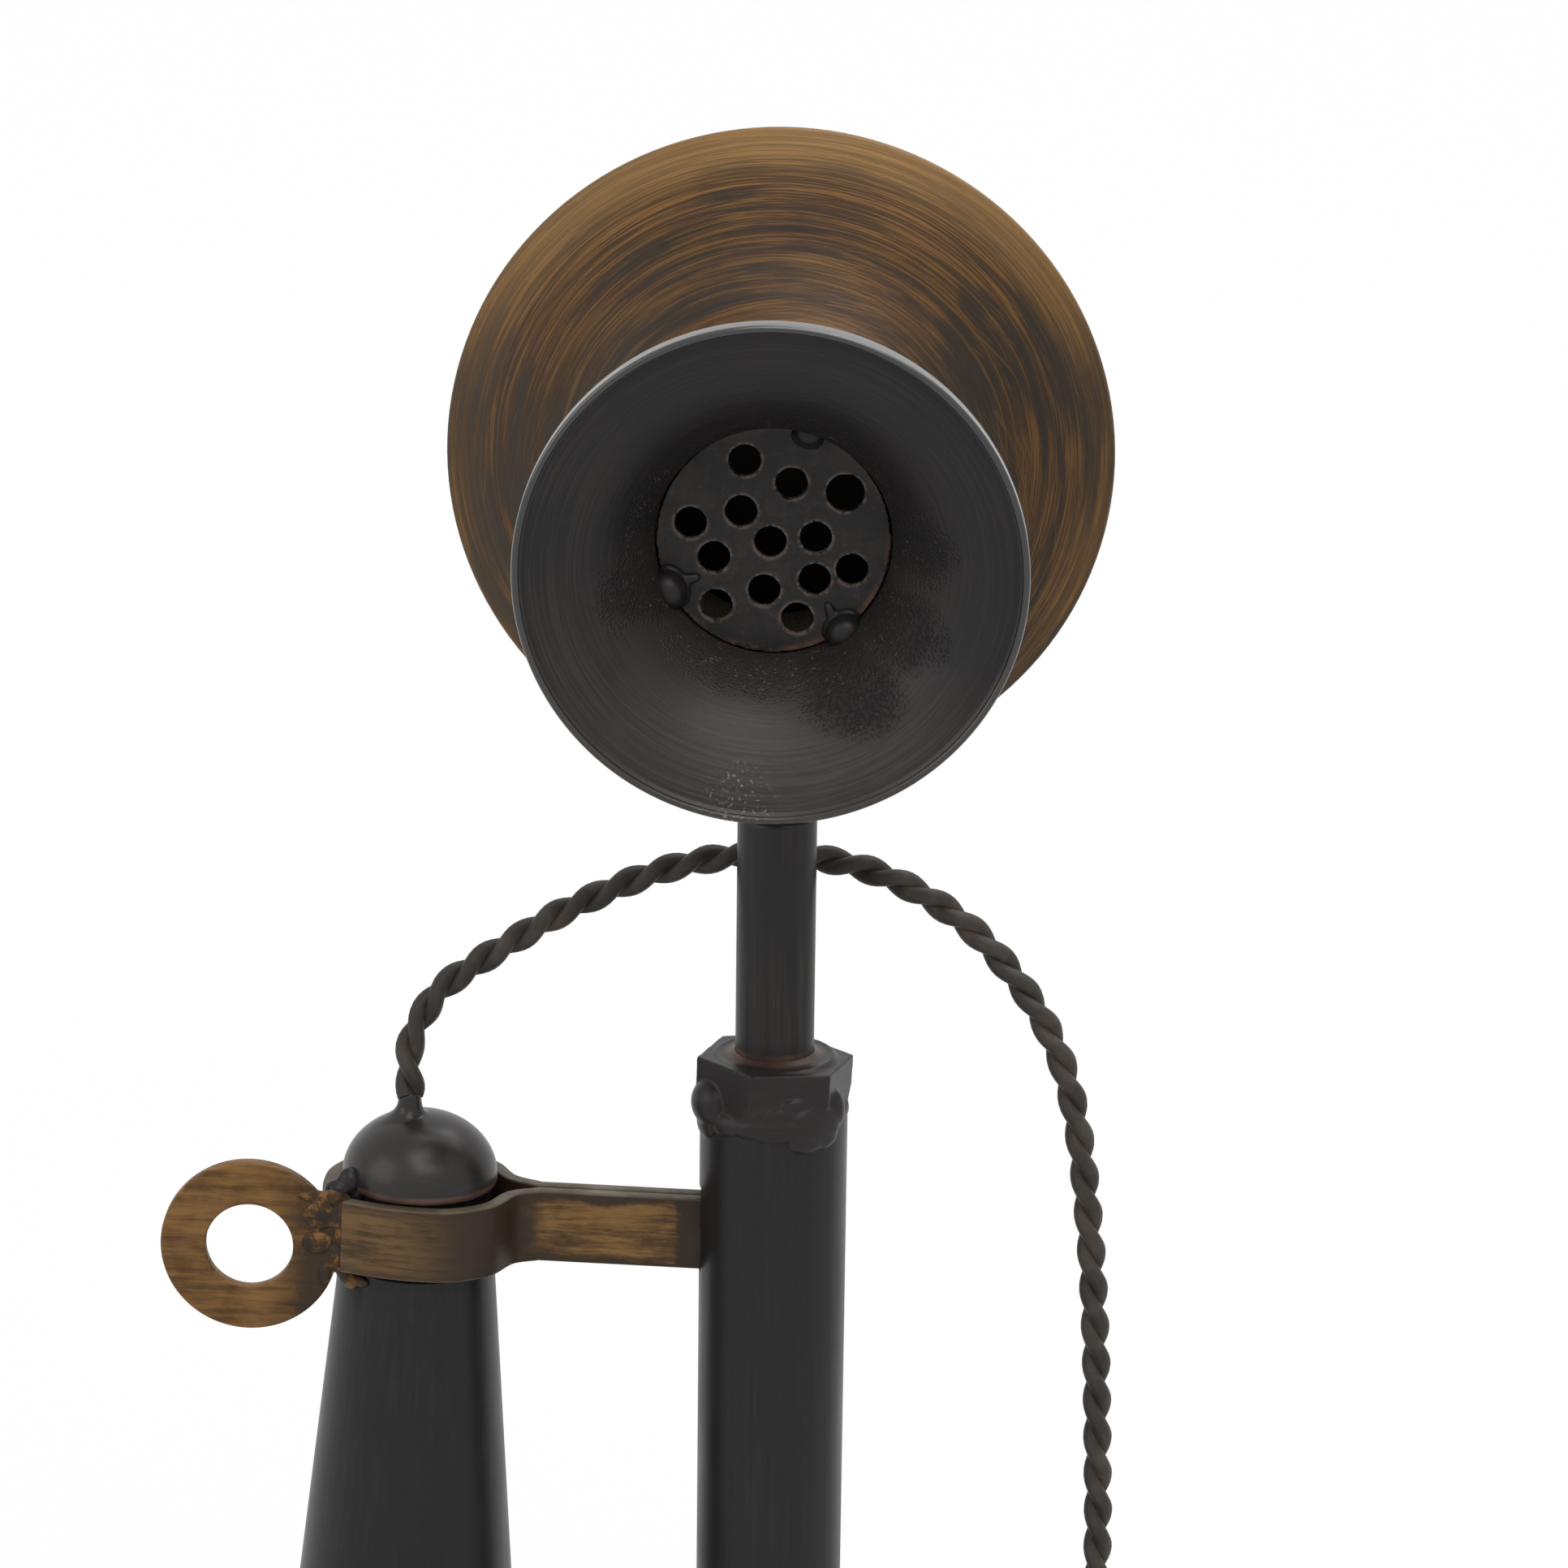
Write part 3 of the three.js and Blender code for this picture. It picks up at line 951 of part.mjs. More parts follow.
const hook = new THREE.Group();
hook.position.z = HOOK_PIVOT_HEIGHT;
hook.rotation.y = HOOK_LEAN;
telephone.add(hook);
makeHook(hook);

const receiver = new THREE.Group();
receiver.position.x = -RECEIVER_OUT;
hook.add(receiver);
makeReceiver(receiver);

const post = new THREE.Group();
post.rotation.z = HEAD_YAW;
telephone.add(post);
add(post, 'post', makePost(), blackPaint);

const head = new THREE.Group();
head.position.z = tiltHeight;
head.rotation.x = HEAD_TILT;
post.add(head);
makeHead(head);

export default telephone;
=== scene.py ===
"""The looks of a candlestick telephone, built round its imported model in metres, +Z up.

The mouthpiece faces -Y. The switch hook and the receiver are on the -X side.
"""

import json
from math import acos, cos, degrees, hypot, pi, radians, sin, tan

import bpy
from bpy.props import FloatProperty, FloatVectorProperty, PointerProperty
from mathutils import Matrix, Vector


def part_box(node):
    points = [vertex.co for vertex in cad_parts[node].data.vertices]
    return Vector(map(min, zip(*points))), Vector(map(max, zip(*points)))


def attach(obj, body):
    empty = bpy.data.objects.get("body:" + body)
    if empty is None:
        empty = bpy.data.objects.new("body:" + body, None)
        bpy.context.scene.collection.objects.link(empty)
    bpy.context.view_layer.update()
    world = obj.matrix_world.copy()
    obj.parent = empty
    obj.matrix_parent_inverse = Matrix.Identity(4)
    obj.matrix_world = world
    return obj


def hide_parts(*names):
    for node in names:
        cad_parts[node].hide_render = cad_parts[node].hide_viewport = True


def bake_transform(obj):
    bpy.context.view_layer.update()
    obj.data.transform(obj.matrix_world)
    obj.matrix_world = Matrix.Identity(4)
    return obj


bl_info = {
    "name": "Candlestick telephone",
    "version": (1, 0, 0),
    "blender": (4, 5, 0),
    "location": "View3D > Sidebar > Telephone",
    "description": "Models and finishes a candlestick telephone round its packed frame",
    "category": "Object",
}

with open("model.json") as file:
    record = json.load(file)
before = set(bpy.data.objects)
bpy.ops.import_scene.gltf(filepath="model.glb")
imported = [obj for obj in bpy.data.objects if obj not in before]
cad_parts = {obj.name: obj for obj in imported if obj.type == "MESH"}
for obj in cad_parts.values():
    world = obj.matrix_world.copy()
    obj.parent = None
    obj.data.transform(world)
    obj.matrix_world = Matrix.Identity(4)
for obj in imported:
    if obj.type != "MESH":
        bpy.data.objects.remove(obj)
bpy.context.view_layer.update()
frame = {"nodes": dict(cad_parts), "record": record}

MM = 0.001
ROUND = 96  # segments of a turned piece
WIDE = 144  # segments of a wide turned piece
GAP = 0.3  # clearance between pieces, in millimetres

# Where the frame's moving groups stand, in millimetres and degrees
HOOK_PIVOT = 156.5
HOOK_LEAN = 2.4
RECEIVER_OUT = 62.3
TILT_HEIGHT = 239.5
HEAD_RISE = 58.8
HEAD_FORWARD = 6.9
HEAD_YAW = -1.0
HEAD_TILT = 3.0

# The photograph's camera
TARGET = Vector((1.06, 0, 238.7)) * MM
DISTANCE = 0.82
ELEVATION = 16.0
ROLL = 0.72
LENS = 109.94

# Head, in millimetres from the bell's rim along the head's axis
FACE_RADIUS = 55.4
FACE_WALL = 1.5
FACE_BEAD = 1.2
BRIM_WIDTH = 15.0
BRIM_SLOPE = radians(22)
NECK_LENGTH = 2.0
CUP_RADIUS = 50.0
CUP_DEPTH = 22.0
CUP_EDGE = 10.0
CUP_WALL = 1.5
BOSS_CIRCLE = 34.0
HORN_REACH = 71.3
HORN_RADIUS = 39.5
HORN_WALL = 1.2
HORN_LIP = 4.0
HORN_FOLD = 2.9
HORN_FLARE = radians(66)
HORN_TUBE = 22.0
GRILLE_RADIUS = 18.3
GRILLE_REACH = 49.4
GRILLE_THICKNESS = 1.2
GRILLE_HOLE_RADIUS = 2.5
GRILLE_HOLES = [
    (-4.6, 12.8), (2.7, 9.2), (11.1, 7.8, 3.0), (-13, 2.6), (-5.1, 4.6), (-0.5, -0.3), (6.6, 0.5),
    (-9.3, -2.9), (12.3, -4.6), (6.5, -6.3), (-1.4, -8.2), (-8.9, -10.7), (3.8, -12.7),
]
GRILLE_TACKS = [  # angle in degrees, radius, share of its full height, and run towards the middle
    (73, 2.1, 0.7, 0), (206, 2.9, 1, 0.8), (308, 2.7, 1, 0.8),
]
HOLE_WEAR = 0.6  # width of the wear round a hole
THROAT_RADIUS = GRILLE_RADIUS + GAP
FINE_GRAIN = 0.24  # width of a remeshed face
WELD_GRAIN = 0.22
DOME_GRAIN = 0.3

# Column, nut and post
COLUMN_RADIUS = 12.9
COLUMN_WALL = 1.6
COLUMN_BOTTOM = 35.0
COLUMN_TOP = 180.2
NUT_HEIGHT = 9.5
NUT_FLATS = COLUMN_RADIUS - 0.8
NUT_TURN = 12.5
NUT_STEP = 0.5  # round crown above the nut's hexagon
NUT_ROLL = 2.3  # the nut sits a little askew, its left and its front up
NUT_PITCH = -2.0
NUT_LUMPS = [  # weld drops: angle from the front, height on the nut, then radii across, outwards and upwards
    (-66, 2.0, 4.3, 3.2, 4.2), (-68, -1.4, 3.8, 1.9, 3.6), (34, -0.4, 5.6, 2.0, 4.4),
    (27, -3.2, 3.6, 1.7, 2.0), (45, -2.4, 3.2, 1.8, 2.6), (8, 1.0, 4.6, 1.4, 3.0), (0, -1.0, 4.2, 1.4, 2.2),
    (18, 3.8, 2.8, 0.9, 1.4), (58, 1.4, 2.4, 2.0, 3.8), (-20, -0.6, 3.6, 1.5, 2.0),
    (-42, -0.8, 3.6, 1.5, 2.2), (150, 0, 4, 1.6, 2.4), (172, 0.4, 3, 1.4, 2.6), (-120, 0, 3.4, 1.4, 2),
]
POST_RADIUS = 6.85
TONGUE_THICKNESS = 4.5
TONGUE_RADIUS = 4.5
TONGUE_NECK = 1.6
SHOULDER_DEPTH = 3.6
BOLT_HOLE = 1.8
NUT_RUST = (COLUMN_TOP + NUT_HEIGHT - 1, COLUMN_TOP + NUT_HEIGHT + 2.4, 0.8, 9)  # as black_paint takes it

PAINT_SHINE = 0.22  # how strongly paint reflects
USUAL_SHINE = 0.5  # how strongly plastic reflects
SAND_PATCHES = [(22, 2, 8), (19, -10, 9), (13, -20, 10), (-21, -7, 8)]  # x, y and radius in the head's frame
# Patch of painted glints, which stand in for highlights: x, y and radius in the head's frame.
GLINT_PATCH = (-4.5, -36, 7)

# Hook
STRIP_HEIGHT = 13.0
STRIP_THICKNESS = 2.5
STRIP_MIDDLE = 1.4
STRIP_ROOT = 4.0
RIVET_HOLE = 1.5
RIVET_PLACE = -7
SLOT_BOTTOM = 150.2
SLOT_TOP = 165.8
NECK_RADIUS = 12.5
LOOP_HALF = NECK_RADIUS + 0.4 + STRIP_THICKNESS / 2
RING_RADIUS = 15.4
RING_HOLE = 7.6
FRONT_BEND = [  # out along the arm and across it, as shares of LOOP_HALF from the loop's middle
    (1.5, -0.099), (1.16, -0.28), (0.9, -0.72), (0.5, -0.97), (0.1, -1.01), (-0.4, -0.95), (-0.88, -0.8),
]
BACK_BEND = [
    (1.5, 0.099), (1.12, 0.3), (0.85, 0.76), (0.4, 1), (-0.15, 1.03), (-0.7, 0.8), (-1.02, 0.35),
    (-1.09, -0.1), (-1.06, -0.63),
]
ARM_WASH = (-44.5, -38, -18.6, -17)  # where the brass begins, is full, fades and ends, from the pivot
LOOP_WASH = (-79, -73, -67, -51)
STRIP_DROPS = [  # weld drops: place from the ring's edge, then radii
    (-0.6, 2.2, 7.0, 2.4, 2.0, 2.0), (1.4, 3.2, 8.0, 2.4, 2.2, 3.0), (2.4, 3.0, 6.0, 2.0, 1.8, 2.4),
]
RING_DROPS = [
    (0.5, -0.1, 5.4, 1.7, 1.7, 2.0), (0.2, -0.2, 2.6, 1.9, 1.9, 2.1), (0.5, -0.1, -0.4, 1.6, 1.8, 2.3),
    (0.1, -0.2, -3.4, 1.9, 1.8, 2.0), (-0.2, 0, -5.8, 1.7, 1.5, 1.6), (-3.2, -1.1, 3.4, 3.2, 0.8, 2.6),
    (-4.6, -1.1, 7.0, 2.8, 0.7, 1.2), (-3.6, -1.1, -1.6, 2.8, 0.9, 2.2), (-2.2, -0.8, -7.2, 1.3, 1.2, 2.2),
    (-1.4, -1.0, 6.8, 2.4, 1.0, 1.4),
]

# Receiver, in millimetres above the arm's centreline along the receiver's axis
DOME_RADIUS = 13.6
DOME_RISE = 11.3
DOME_BAND = 1.0
DOME_WALL = 1.6
DOME_BOTTOM = STRIP_HEIGHT / 2 + GAP
SPIGOT_LENGTH = 6.0
CORD_BOSS_OUT = 2.2
CORD_BOSS = [  # radius, and height above the dome's top
    (0, -1.5), (8, -4), (6.4, -2.4), (4.5, -1.2), (3.4, -0.4), (2.75, 0.2), (2.2, 1.2), (2, 2.6), (1.8, 3.6),
    (1.2, 4.1), (0, 4.2),
]
CONE_TOP_RADIUS = 13.6
CONE_TOP = -STRIP_HEIGHT / 2 - 0.9
CONE_LENGTH = 76.0
CONE_TAPER = 0.0885
CONE_BOTTOM = CONE_TOP - CONE_LENGTH
CONE_BOTTOM_RADIUS = CONE_TOP_RADIUS + CONE_TAPER * CONE_LENGTH
FLARE_HEIGHT = 14.6
FLANGE_RADIUS = 26.0
FLANGE_HEIGHT = 5.0
SHELL_WALL = 2.0
MOUTH_RADIUS = 22.0
CAP_WALL = 2.2
CAP_DEPTH = 12.0
EAR_HOLE_RADIUS = 7.0
DRIPS = [  # place from the shell's top, turn, then radii across, outwards and upwards
    (-11.4, -8.6, -1.8, -53, 2.8, 1, 1.7), (-12.6, -6.7, -1, -60, 1.7, 1, 2),
    (-9.0, -10.6, -1.4, -41, 1.8, 0.8, 1.1),
]
SEAT_HEIGHT = 7.3  # from the shell's mouth to the seat inside it

# Base
BASE_RADIUS = 70.0
PLATE_BOTTOM = 1.8
FOOT_HEIGHT = 14.0
FOOT_WALL = 2.5
FOOT_EDGE = 4.0
FOOT_OPENING = 42.0
GROMMET_HOLE = 3.3
BELL_RIM_RADIUS = 52.0
BELL_RIM_HEIGHT = 4.0
BELL_RISE = 26.0
BELL_FLARE = 2.2
BELL_WALL = 2.0
BELL_NECK = COLUMN_RADIUS + 6.3
COLUMN_BORE = COLUMN_RADIUS + GAP
COLLAR_RADIUS = COLUMN_BORE + 8.5
COLLAR_HEIGHT = 6.0
FERRULE_HEIGHT = 8.0
FERRULE_BORE = 2.9
FERRULE_FLANGE = 5.9
FERRULE_RADIUS = 4.9
CORD_FOOT = (59.6, 3.0)

# Cord: its middle, from the receiver's dome to the base
STRAND_SIDES = 10
STEPS_PER_TURN = 16
CORD_ROUTE = [
    (-63.4, 0, 181.4), (-63.6, 0.3, 186.5), (-63.1, 1, 191.7), (-59, 2, 199.3), (-53.6, 4, 203.3),
    (-45.8, 6, 207.95), (-36.3, 8, 213.25), (-23.7, 10.5, 218.4), (-12.4, 12, 221.3), (0, 12.6, 222.5),
    (11, 12, 221.2), (18.8, 11, 219.1), (26.2, 9.5, 215.8), (33.1, 8, 211.35), (39.1, 6.5, 205.65),
    (44.9, 5, 198.2), (48.9, 4.5, 190.9), (51.4, 4, 184.1), (53.3, 3.5, 176.3), (54.65, 3, 168.1),
    (55.85, 3, 158.2), (56.95, 3, 146.7), (57.95, 3, 131.2), (58.75, 3, 112.5), (59.3, 3, 91.5),
    (59.6, 3, 30.3), (59.6, 3, 15.2),
]

# Stage
STUDIO_LIGHT = 0.4  # strength of the white surroundings as a light; where they are seen it is 1
LAMPS = [  # name, place in metres, width in metres and power in watts
    ("key_light", (0.35, -1.0, 1.8), 1.3, 19),
    ("fill_light", (-1.4, -0.8, 1.0), 1.2, 7),
    ("top_light", (0.6, 0.4, 1.7), 1.2, 15),
]


# ---- Sizes and colours to change ----


def measure(name, description, default):
    return FloatProperty(name=name, description=description, default=default, unit="LENGTH")


def colour(name, description, default):
    return FloatVectorProperty(
        name=name, description=description, default=default, subtype="COLOR", min=0, max=1, size=3
    )


class TelephoneSizes(bpy.types.PropertyGroup):
    """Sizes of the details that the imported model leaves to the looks."""

    strand_diameter: measure("Strand", "Diameter of one strand of the cord", 2.96 * MM)
    cord_diameter: measure("Cord", "Diameter of the twisted cord", 5.2 * MM)
    twist: measure("Twist", "Length of cord in which the strands turn once", 14.2 * MM)
    edge: measure("Edge", "Width of the rounding on the strips' edges", 0.35 * MM)
    floor: measure("Floor", "Width of the floor", 12.0)


class TelephoneColours(bpy.types.PropertyGroup):
    """Colours of the finishes, as linear values."""

    paint: colour("Paint", "The black paint", (0.0125, 0.0113, 0.0118))
    paint_worn: colour("Worn paint", "Paint that is rubbed thin", (0.05, 0.041, 0.034))
    wash_dark: colour("Dark wash", "The bell's and hook's dark ground", (0.024, 0.0175, 0.0125))
    wash_glaze: colour("Brown glaze", "The brown between the ground and the brass", (0.062, 0.03, 0.0105))
    wash: colour("Brass wash", "The brass strokes over the ground", (0.215, 0.105, 0.03))
    # Worn brass is also the painted highlight on the bell's rim at the top.
    worn_brass_and_highlight: colour("Worn brass", "Brass rubbed bright at the edges", (0.25, 0.145, 0.055))
    # Dust is partly painted sheen: it greys and lightens the bell's left side.
    dust: colour("Dust", "Dust on the left of the bell", (0.07, 0.056, 0.045))
    loop_wash: colour("Loop brass", "The brass on the hook's loop", (0.18, 0.105, 0.042))
    arm_wash: colour("Arm brass", "The brass on the hook's arm", (0.25, 0.135, 0.045))
    strip_edge: colour("Strip edge", "The strips' worn edges", (0.17, 0.14, 0.095))
    rust: colour("Rust", "Rust at the welds and joints", (0.14, 0.073, 0.052))
    # This colour is painted light, not rubbed paint: it lightens the mouthpiece just below the grille.
    painted_light_below_grille: colour("Scuffs", "Paint rubbed thin round the grille", (0.047, 0.038, 0.033))
    speck: colour("Specks", "Rusty grains round the grille", (0.17, 0.105, 0.07))
    # Painted glints: bright specks low in the mouthpiece stand in for highlights, not bare metal.
    painted_glint: colour("Glints", "Bare metal low in the mouthpiece", (0.24, 0.2, 0.16))
    # The throat is painted pale as painted light, so the tube behind the grille looks lit.
    throat: colour("Throat", "The mouthpiece's throat behind the grille", (0.2, 0.16, 0.115))
    hole_edge: colour("Hole edges", "Worn edges of the grille's holes", (0.16, 0.12, 0.095))
    steel: colour("Steel", "Bare steel", (0.3, 0.3, 0.31))
    # The diaphragm is painted nearly black as painted shade, so the grille's holes look dark.
    painted_shade_diaphragm: colour("Dark steel", "The diaphragm behind the grille", (0.02, 0.018, 0.016))
    brass: colour("Brass", "Plain brass", (0.5, 0.35, 0.12))
    copper: colour("Copper", "Wound copper wire", (0.4, 0.14, 0.06))
    fibre: colour("Fibre", "Pressed fibre", (0.07, 0.03, 0.018))
    rubber: colour("Rubber", "Black rubber", (0.012, 0.012, 0.012))
    felt: colour("Felt", "The felt pad", (0.03, 0.05, 0.025))
    strand: colour("Strand", "The cord's dark wire", (0.032, 0.027, 0.023))
    strand_worn: colour("Worn strand", "The cord's wire where it is rubbed", (0.08, 0.066, 0.052))
    floor: colour("Floor", "The pale floor", (0.9, 0.9, 0.9))


# ---- Shader maths ----


class Value:
    """A number or colour in a shader, held as the socket that carries it."""

    def __init__(self, shader, socket):
        self.shader = shader
        self.socket = socket

    def __add__(self, other):
        return self.shader.maths("ADD", self, other)

    __radd__ = __add__

    def __sub__(self, other):
        return self.shader.maths("SUBTRACT", self, other)

    def __rsub__(self, other):
        return self.shader.maths("SUBTRACT", other, self)

    def __mul__(self, other):
        return self.shader.maths("MULTIPLY", self, other)

    __rmul__ = __mul__

    def __truediv__(self, other):
        return self.shader.maths("DIVIDE", self, other)


class Shader:
    """The nodes of a material or a world, built from expressions."""

    def __init__(self, owner):
        owner.use_nodes = True
        self.owner = owner
        self.nodes = owner.node_tree.nodes
        self.links = owner.node_tree.links

    def node(self, kind, settings, inputs, output=0):
        """Adds a node, makes its settings, fills its sockets and gives back one of its outputs."""
        made = self.nodes.new(kind)
        for key, value in settings.items():
            setattr(made, key, value)
        for key, value in inputs.items():
            self.fill(made.inputs[key], value)
        return Value(self, made.outputs[output])

    def fill(self, socket, value):
        if isinstance(value, Value):
            self.links.new(value.socket, socket)
        elif socket.type == "RGBA":
            socket.default_value = (*value, 1)
        else:
            socket.default_value = value

    def maths(self, operation, first, second=0.0):
        return self.node("ShaderNodeMath", {"operation": operation}, {0: first, 1: second})

    def split(self, vector):
        parts = self.nodes.new("ShaderNodeSeparateXYZ")
        self.fill(parts.inputs[0], vector)
        return [Value(self, socket) for socket in parts.outputs]

    def attribute(self, name):
        return self.node("ShaderNodeAttribute", {"attribute_name": name}, {}, "Fac")

    def finish(self, shine=PAINT_SHINE, **sockets):
        """Fills the surface's sockets and gives back the material."""
        inputs = self.nodes["Principled BSDF"].inputs
        self.fill(inputs["Specular IOR Level"], shine)
        for name, value in sockets.items():
            self.fill(inputs[name.replace("_", " ").title()], value)
        return self.owner


def largest(first, *others):
    for other in others:
        first = first.shader.maths("MAXIMUM", first, other)
    return first


def length(x, y):
    return x.shader.maths("SQRT", x * x + y * y)


def band(value, low, high):
    """0 below low and 1 above high, turning smoothly between them."""
    inputs = {"Value": value, "From Min": low, "From Max": high}
    return value.shader.node("ShaderNodeMapRange", {"interpolation_type": "SMOOTHSTEP"}, inputs)


def zone(distance, low, high):
    """A band on a distance, with its limits in millimetres."""
    return band(distance, low * MM, high * MM)


def mix(factor, first, second):
    settings = {"data_type": "RGBA", "clamp_factor": True}
    return factor.shader.node("ShaderNodeMix", settings, {"Factor": factor, 6: first, 7: second}, 2)


def noise(place, scale, detail=4.0, roughness=0.55):
    inputs = {"Vector": place, "Scale": scale, "Detail": detail, "Roughness": roughness}
    return place.shader.node("ShaderNodeTexNoise", {}, inputs)


def grit(place, scale):
    """Distance to the nearest of many scattered points."""
    return place.shader.node("ShaderNodeTexVoronoi", {}, {"Vector": place, "Scale": scale})


def vector(x, y, z):
    return x.shader.node("ShaderNodeCombineXYZ", {}, {"X": x, "Y": y, "Z": z})


def bump(height, distance, strength):
    """A relief, with its depth in millimetres."""
    inputs = {"Height": height, "Distance": distance * MM, "Strength": strength}
    return height.shader.node("ShaderNodeBump", {}, inputs)


def start(name, matrix=None):
    """A new shader, the telephone's colours, and the place on the piece as a vector and as x, y and z.

    The place is in metres, in a turned piece's own frame where its matrix is given."""
    shader = Shader(bpy.data.materials.new(name))
    place = shader.node("ShaderNodeTexCoord", {}, {}, "Object")
    if matrix is not None:
        inputs = {"Vector": place, "Location": matrix.translation, "Rotation": matrix.to_euler()}
        place = shader.node("ShaderNodeMapping", {"vector_type": "TEXTURE"}, inputs)
    return shader, bpy.context.scene.telephone_colours, place, *shader.split(place)


# ---- Finishes ----


def ring_streaks(x, y, z, along, across, rising=1):
    """The radius, and a vector on which noise is drawn out round the Z axis like a brush's rings.

    rising is 1 where the piece widens with its height and -1 where it narrows."""
    radius = length(x, y) + 1e-5
    turn = vector(x / radius * along, y / radius * along, (radius + z * rising) * across)
    return radius, turn


def patch(x, y, clouds, spot):
    """1 in the middle of a patch of (x, y, radius) in millimetres, fading to 0 at its ragged edge."""
    away = length(x - spot[0] * MM, y - spot[1] * MM) + (clouds - 0.5) * 0.016
    return 1 - zone(away, spot[2] * 0.45, spot[2])


def black_paint(name="black_paint", matrix=None, rust_at=None, gloss=0.4, upright=False, brown=0.0,
                pale=0.0, shine=PAINT_SHINE):
    """Half-gloss black paint, brushed round the piece or upright.

    rust_at gives the heights between which it has rusted, how much, and how far out from the axis."""
    shader, colours, place, x, y, z = start(name, matrix)
    if upright:
        turn = vector(x * 700, y * 700, z * 22)
    else:
        turn = ring_streaks(x, y, z, 1.2, 900)[1]
    streaks = noise(turn, 1.0, 4.0, 0.65)
    clouds = noise(place, 60.0, 5.0, 0.6)
    broad = noise(place, 18.0, 3.0)
    dust = band(noise(place, 900.0, 2.0), 0.62, 0.8)
    worn = band(streaks, 0.42, 0.75) * band(clouds * 0.5 + broad * 0.5, 0.38, 0.68)
    base = mix(worn * (0.3 + brown) + dust * 0.1 + pale, colours.paint, colours.paint_worn)
    if rust_at:
        low, high, strength, reach = rust_at
        half = (high - low) / 2
        away = shader.maths("ABSOLUTE", z - (low + high) / 2 * MM)
        outside = zone(length(x, y), reach - 1.5, reach)
        rust = (1 - zone(away, half / 2, half)) * (1 - outside)
        base = mix(rust * band(clouds, 0.36, 0.6) * strength, base, colours.rust)
    relief = streaks * 0.4 + clouds * 0.5 + dust * 0.15
    return shader.finish(
        shine, base_color=base, roughness=clouds * 0.2 + streaks * 0.14 + (gloss - 0.14),
        normal=bump(relief, 0.12, 0.5),
    )


def bell_wash(name, matrix, rim):
    """Dark metal brushed with brass in fine rings and worn along the rolled rim, with painted highlight that
    brightens the brass and the rim towards the top, and dust with painted sheen on the left.
    """
    shader, colours, place, x, y, z = start(name, matrix)
    sway = (noise(place, 14.0, 1.0) - 0.5) * 0.004
    radius, broad_turn = ring_streaks(x, y, z, 1.6, 360, -1)
    turns = [
        broad_turn,
        ring_streaks(x + sway, y, z, 1.5, 1300, -1)[1],
        ring_streaks(x, y + sway, z, 1.9, 3200, -1)[1],
        ring_streaks(x - 0.006, y + 0.014, z, 1.6, 2600, -1)[1],
    ]
    details = [(4.0, 0.6), (5.0, 0.7), (4.0, 0.7), (4.0, 0.7)]
    broad, coarse, fine, askew = [noise(turn, 1.0, *detail) for turn, detail in zip(turns, details)]
    clouds = noise(place, 24.0, 4.0, 0.6)
    patches = noise(place, 60.0, 3.0, 0.6)
    # top is painted highlight: it adds wash, brighter brass strokes and a brighter rim towards the bell's
    # top, as if lit from above.
    top = zone(y, rim * 0.1, rim * 0.9)
    outward = zone(radius, rim * 0.45, rim - 1.0)
    washed = band(broad * 0.6 + clouds * 0.4 + top * outward * 0.12, 0.44, 0.6)
    lines = band(coarse * 0.45 + fine * 0.55 + (washed - 0.3) * 0.05, 0.5, 0.6)
    crossing = band(askew, 0.54, 0.64) * band(patches, 0.5, 0.58) * (1 - outward * 0.5)
    golden_with_highlight = (0.1 + washed * 0.45) * (0.55 + outward * 0.45) + top * outward * 0.25
    strokes = largest(lines * golden_with_highlight, crossing * 0.5)
    # Dust and painted sheen: the bell's left side is made greyer and lighter.
    dust_and_sheen = (1 - zone(x + (clouds - 0.5) * 0.06, rim * -0.8, rim * -0.2)) * (1 - washed * 0.6)
    edge = zone(radius + (coarse - 0.5) * 0.004, rim - 5.5 - rim * 0.06, rim - 1.5)
    ragged = band(broad * 0.4 + coarse * 0.3 + clouds * 0.3, 0.38, 0.64)
    base = mix(washed * 0.7, colours.wash_dark, colours.wash_glaze)
    base = mix(dust_and_sheen * 0.35, base, colours.dust)
    base = mix(strokes, base, colours.wash)
    # The rim's brass is partly wear and partly painted highlight, brightest at the top.
    base = mix(edge * (0.04 + ragged * 0.14 + top * 0.48), base, colours.worn_brass_and_highlight)
    return shader.finish(
        base_color=base, roughness=0.44 - strokes * 0.08 + clouds * 0.14, metallic=0.2 + strokes * 0.25,
        normal=bump(coarse * 0.4 + fine * 0.6, 0.08, 0.6),
    )


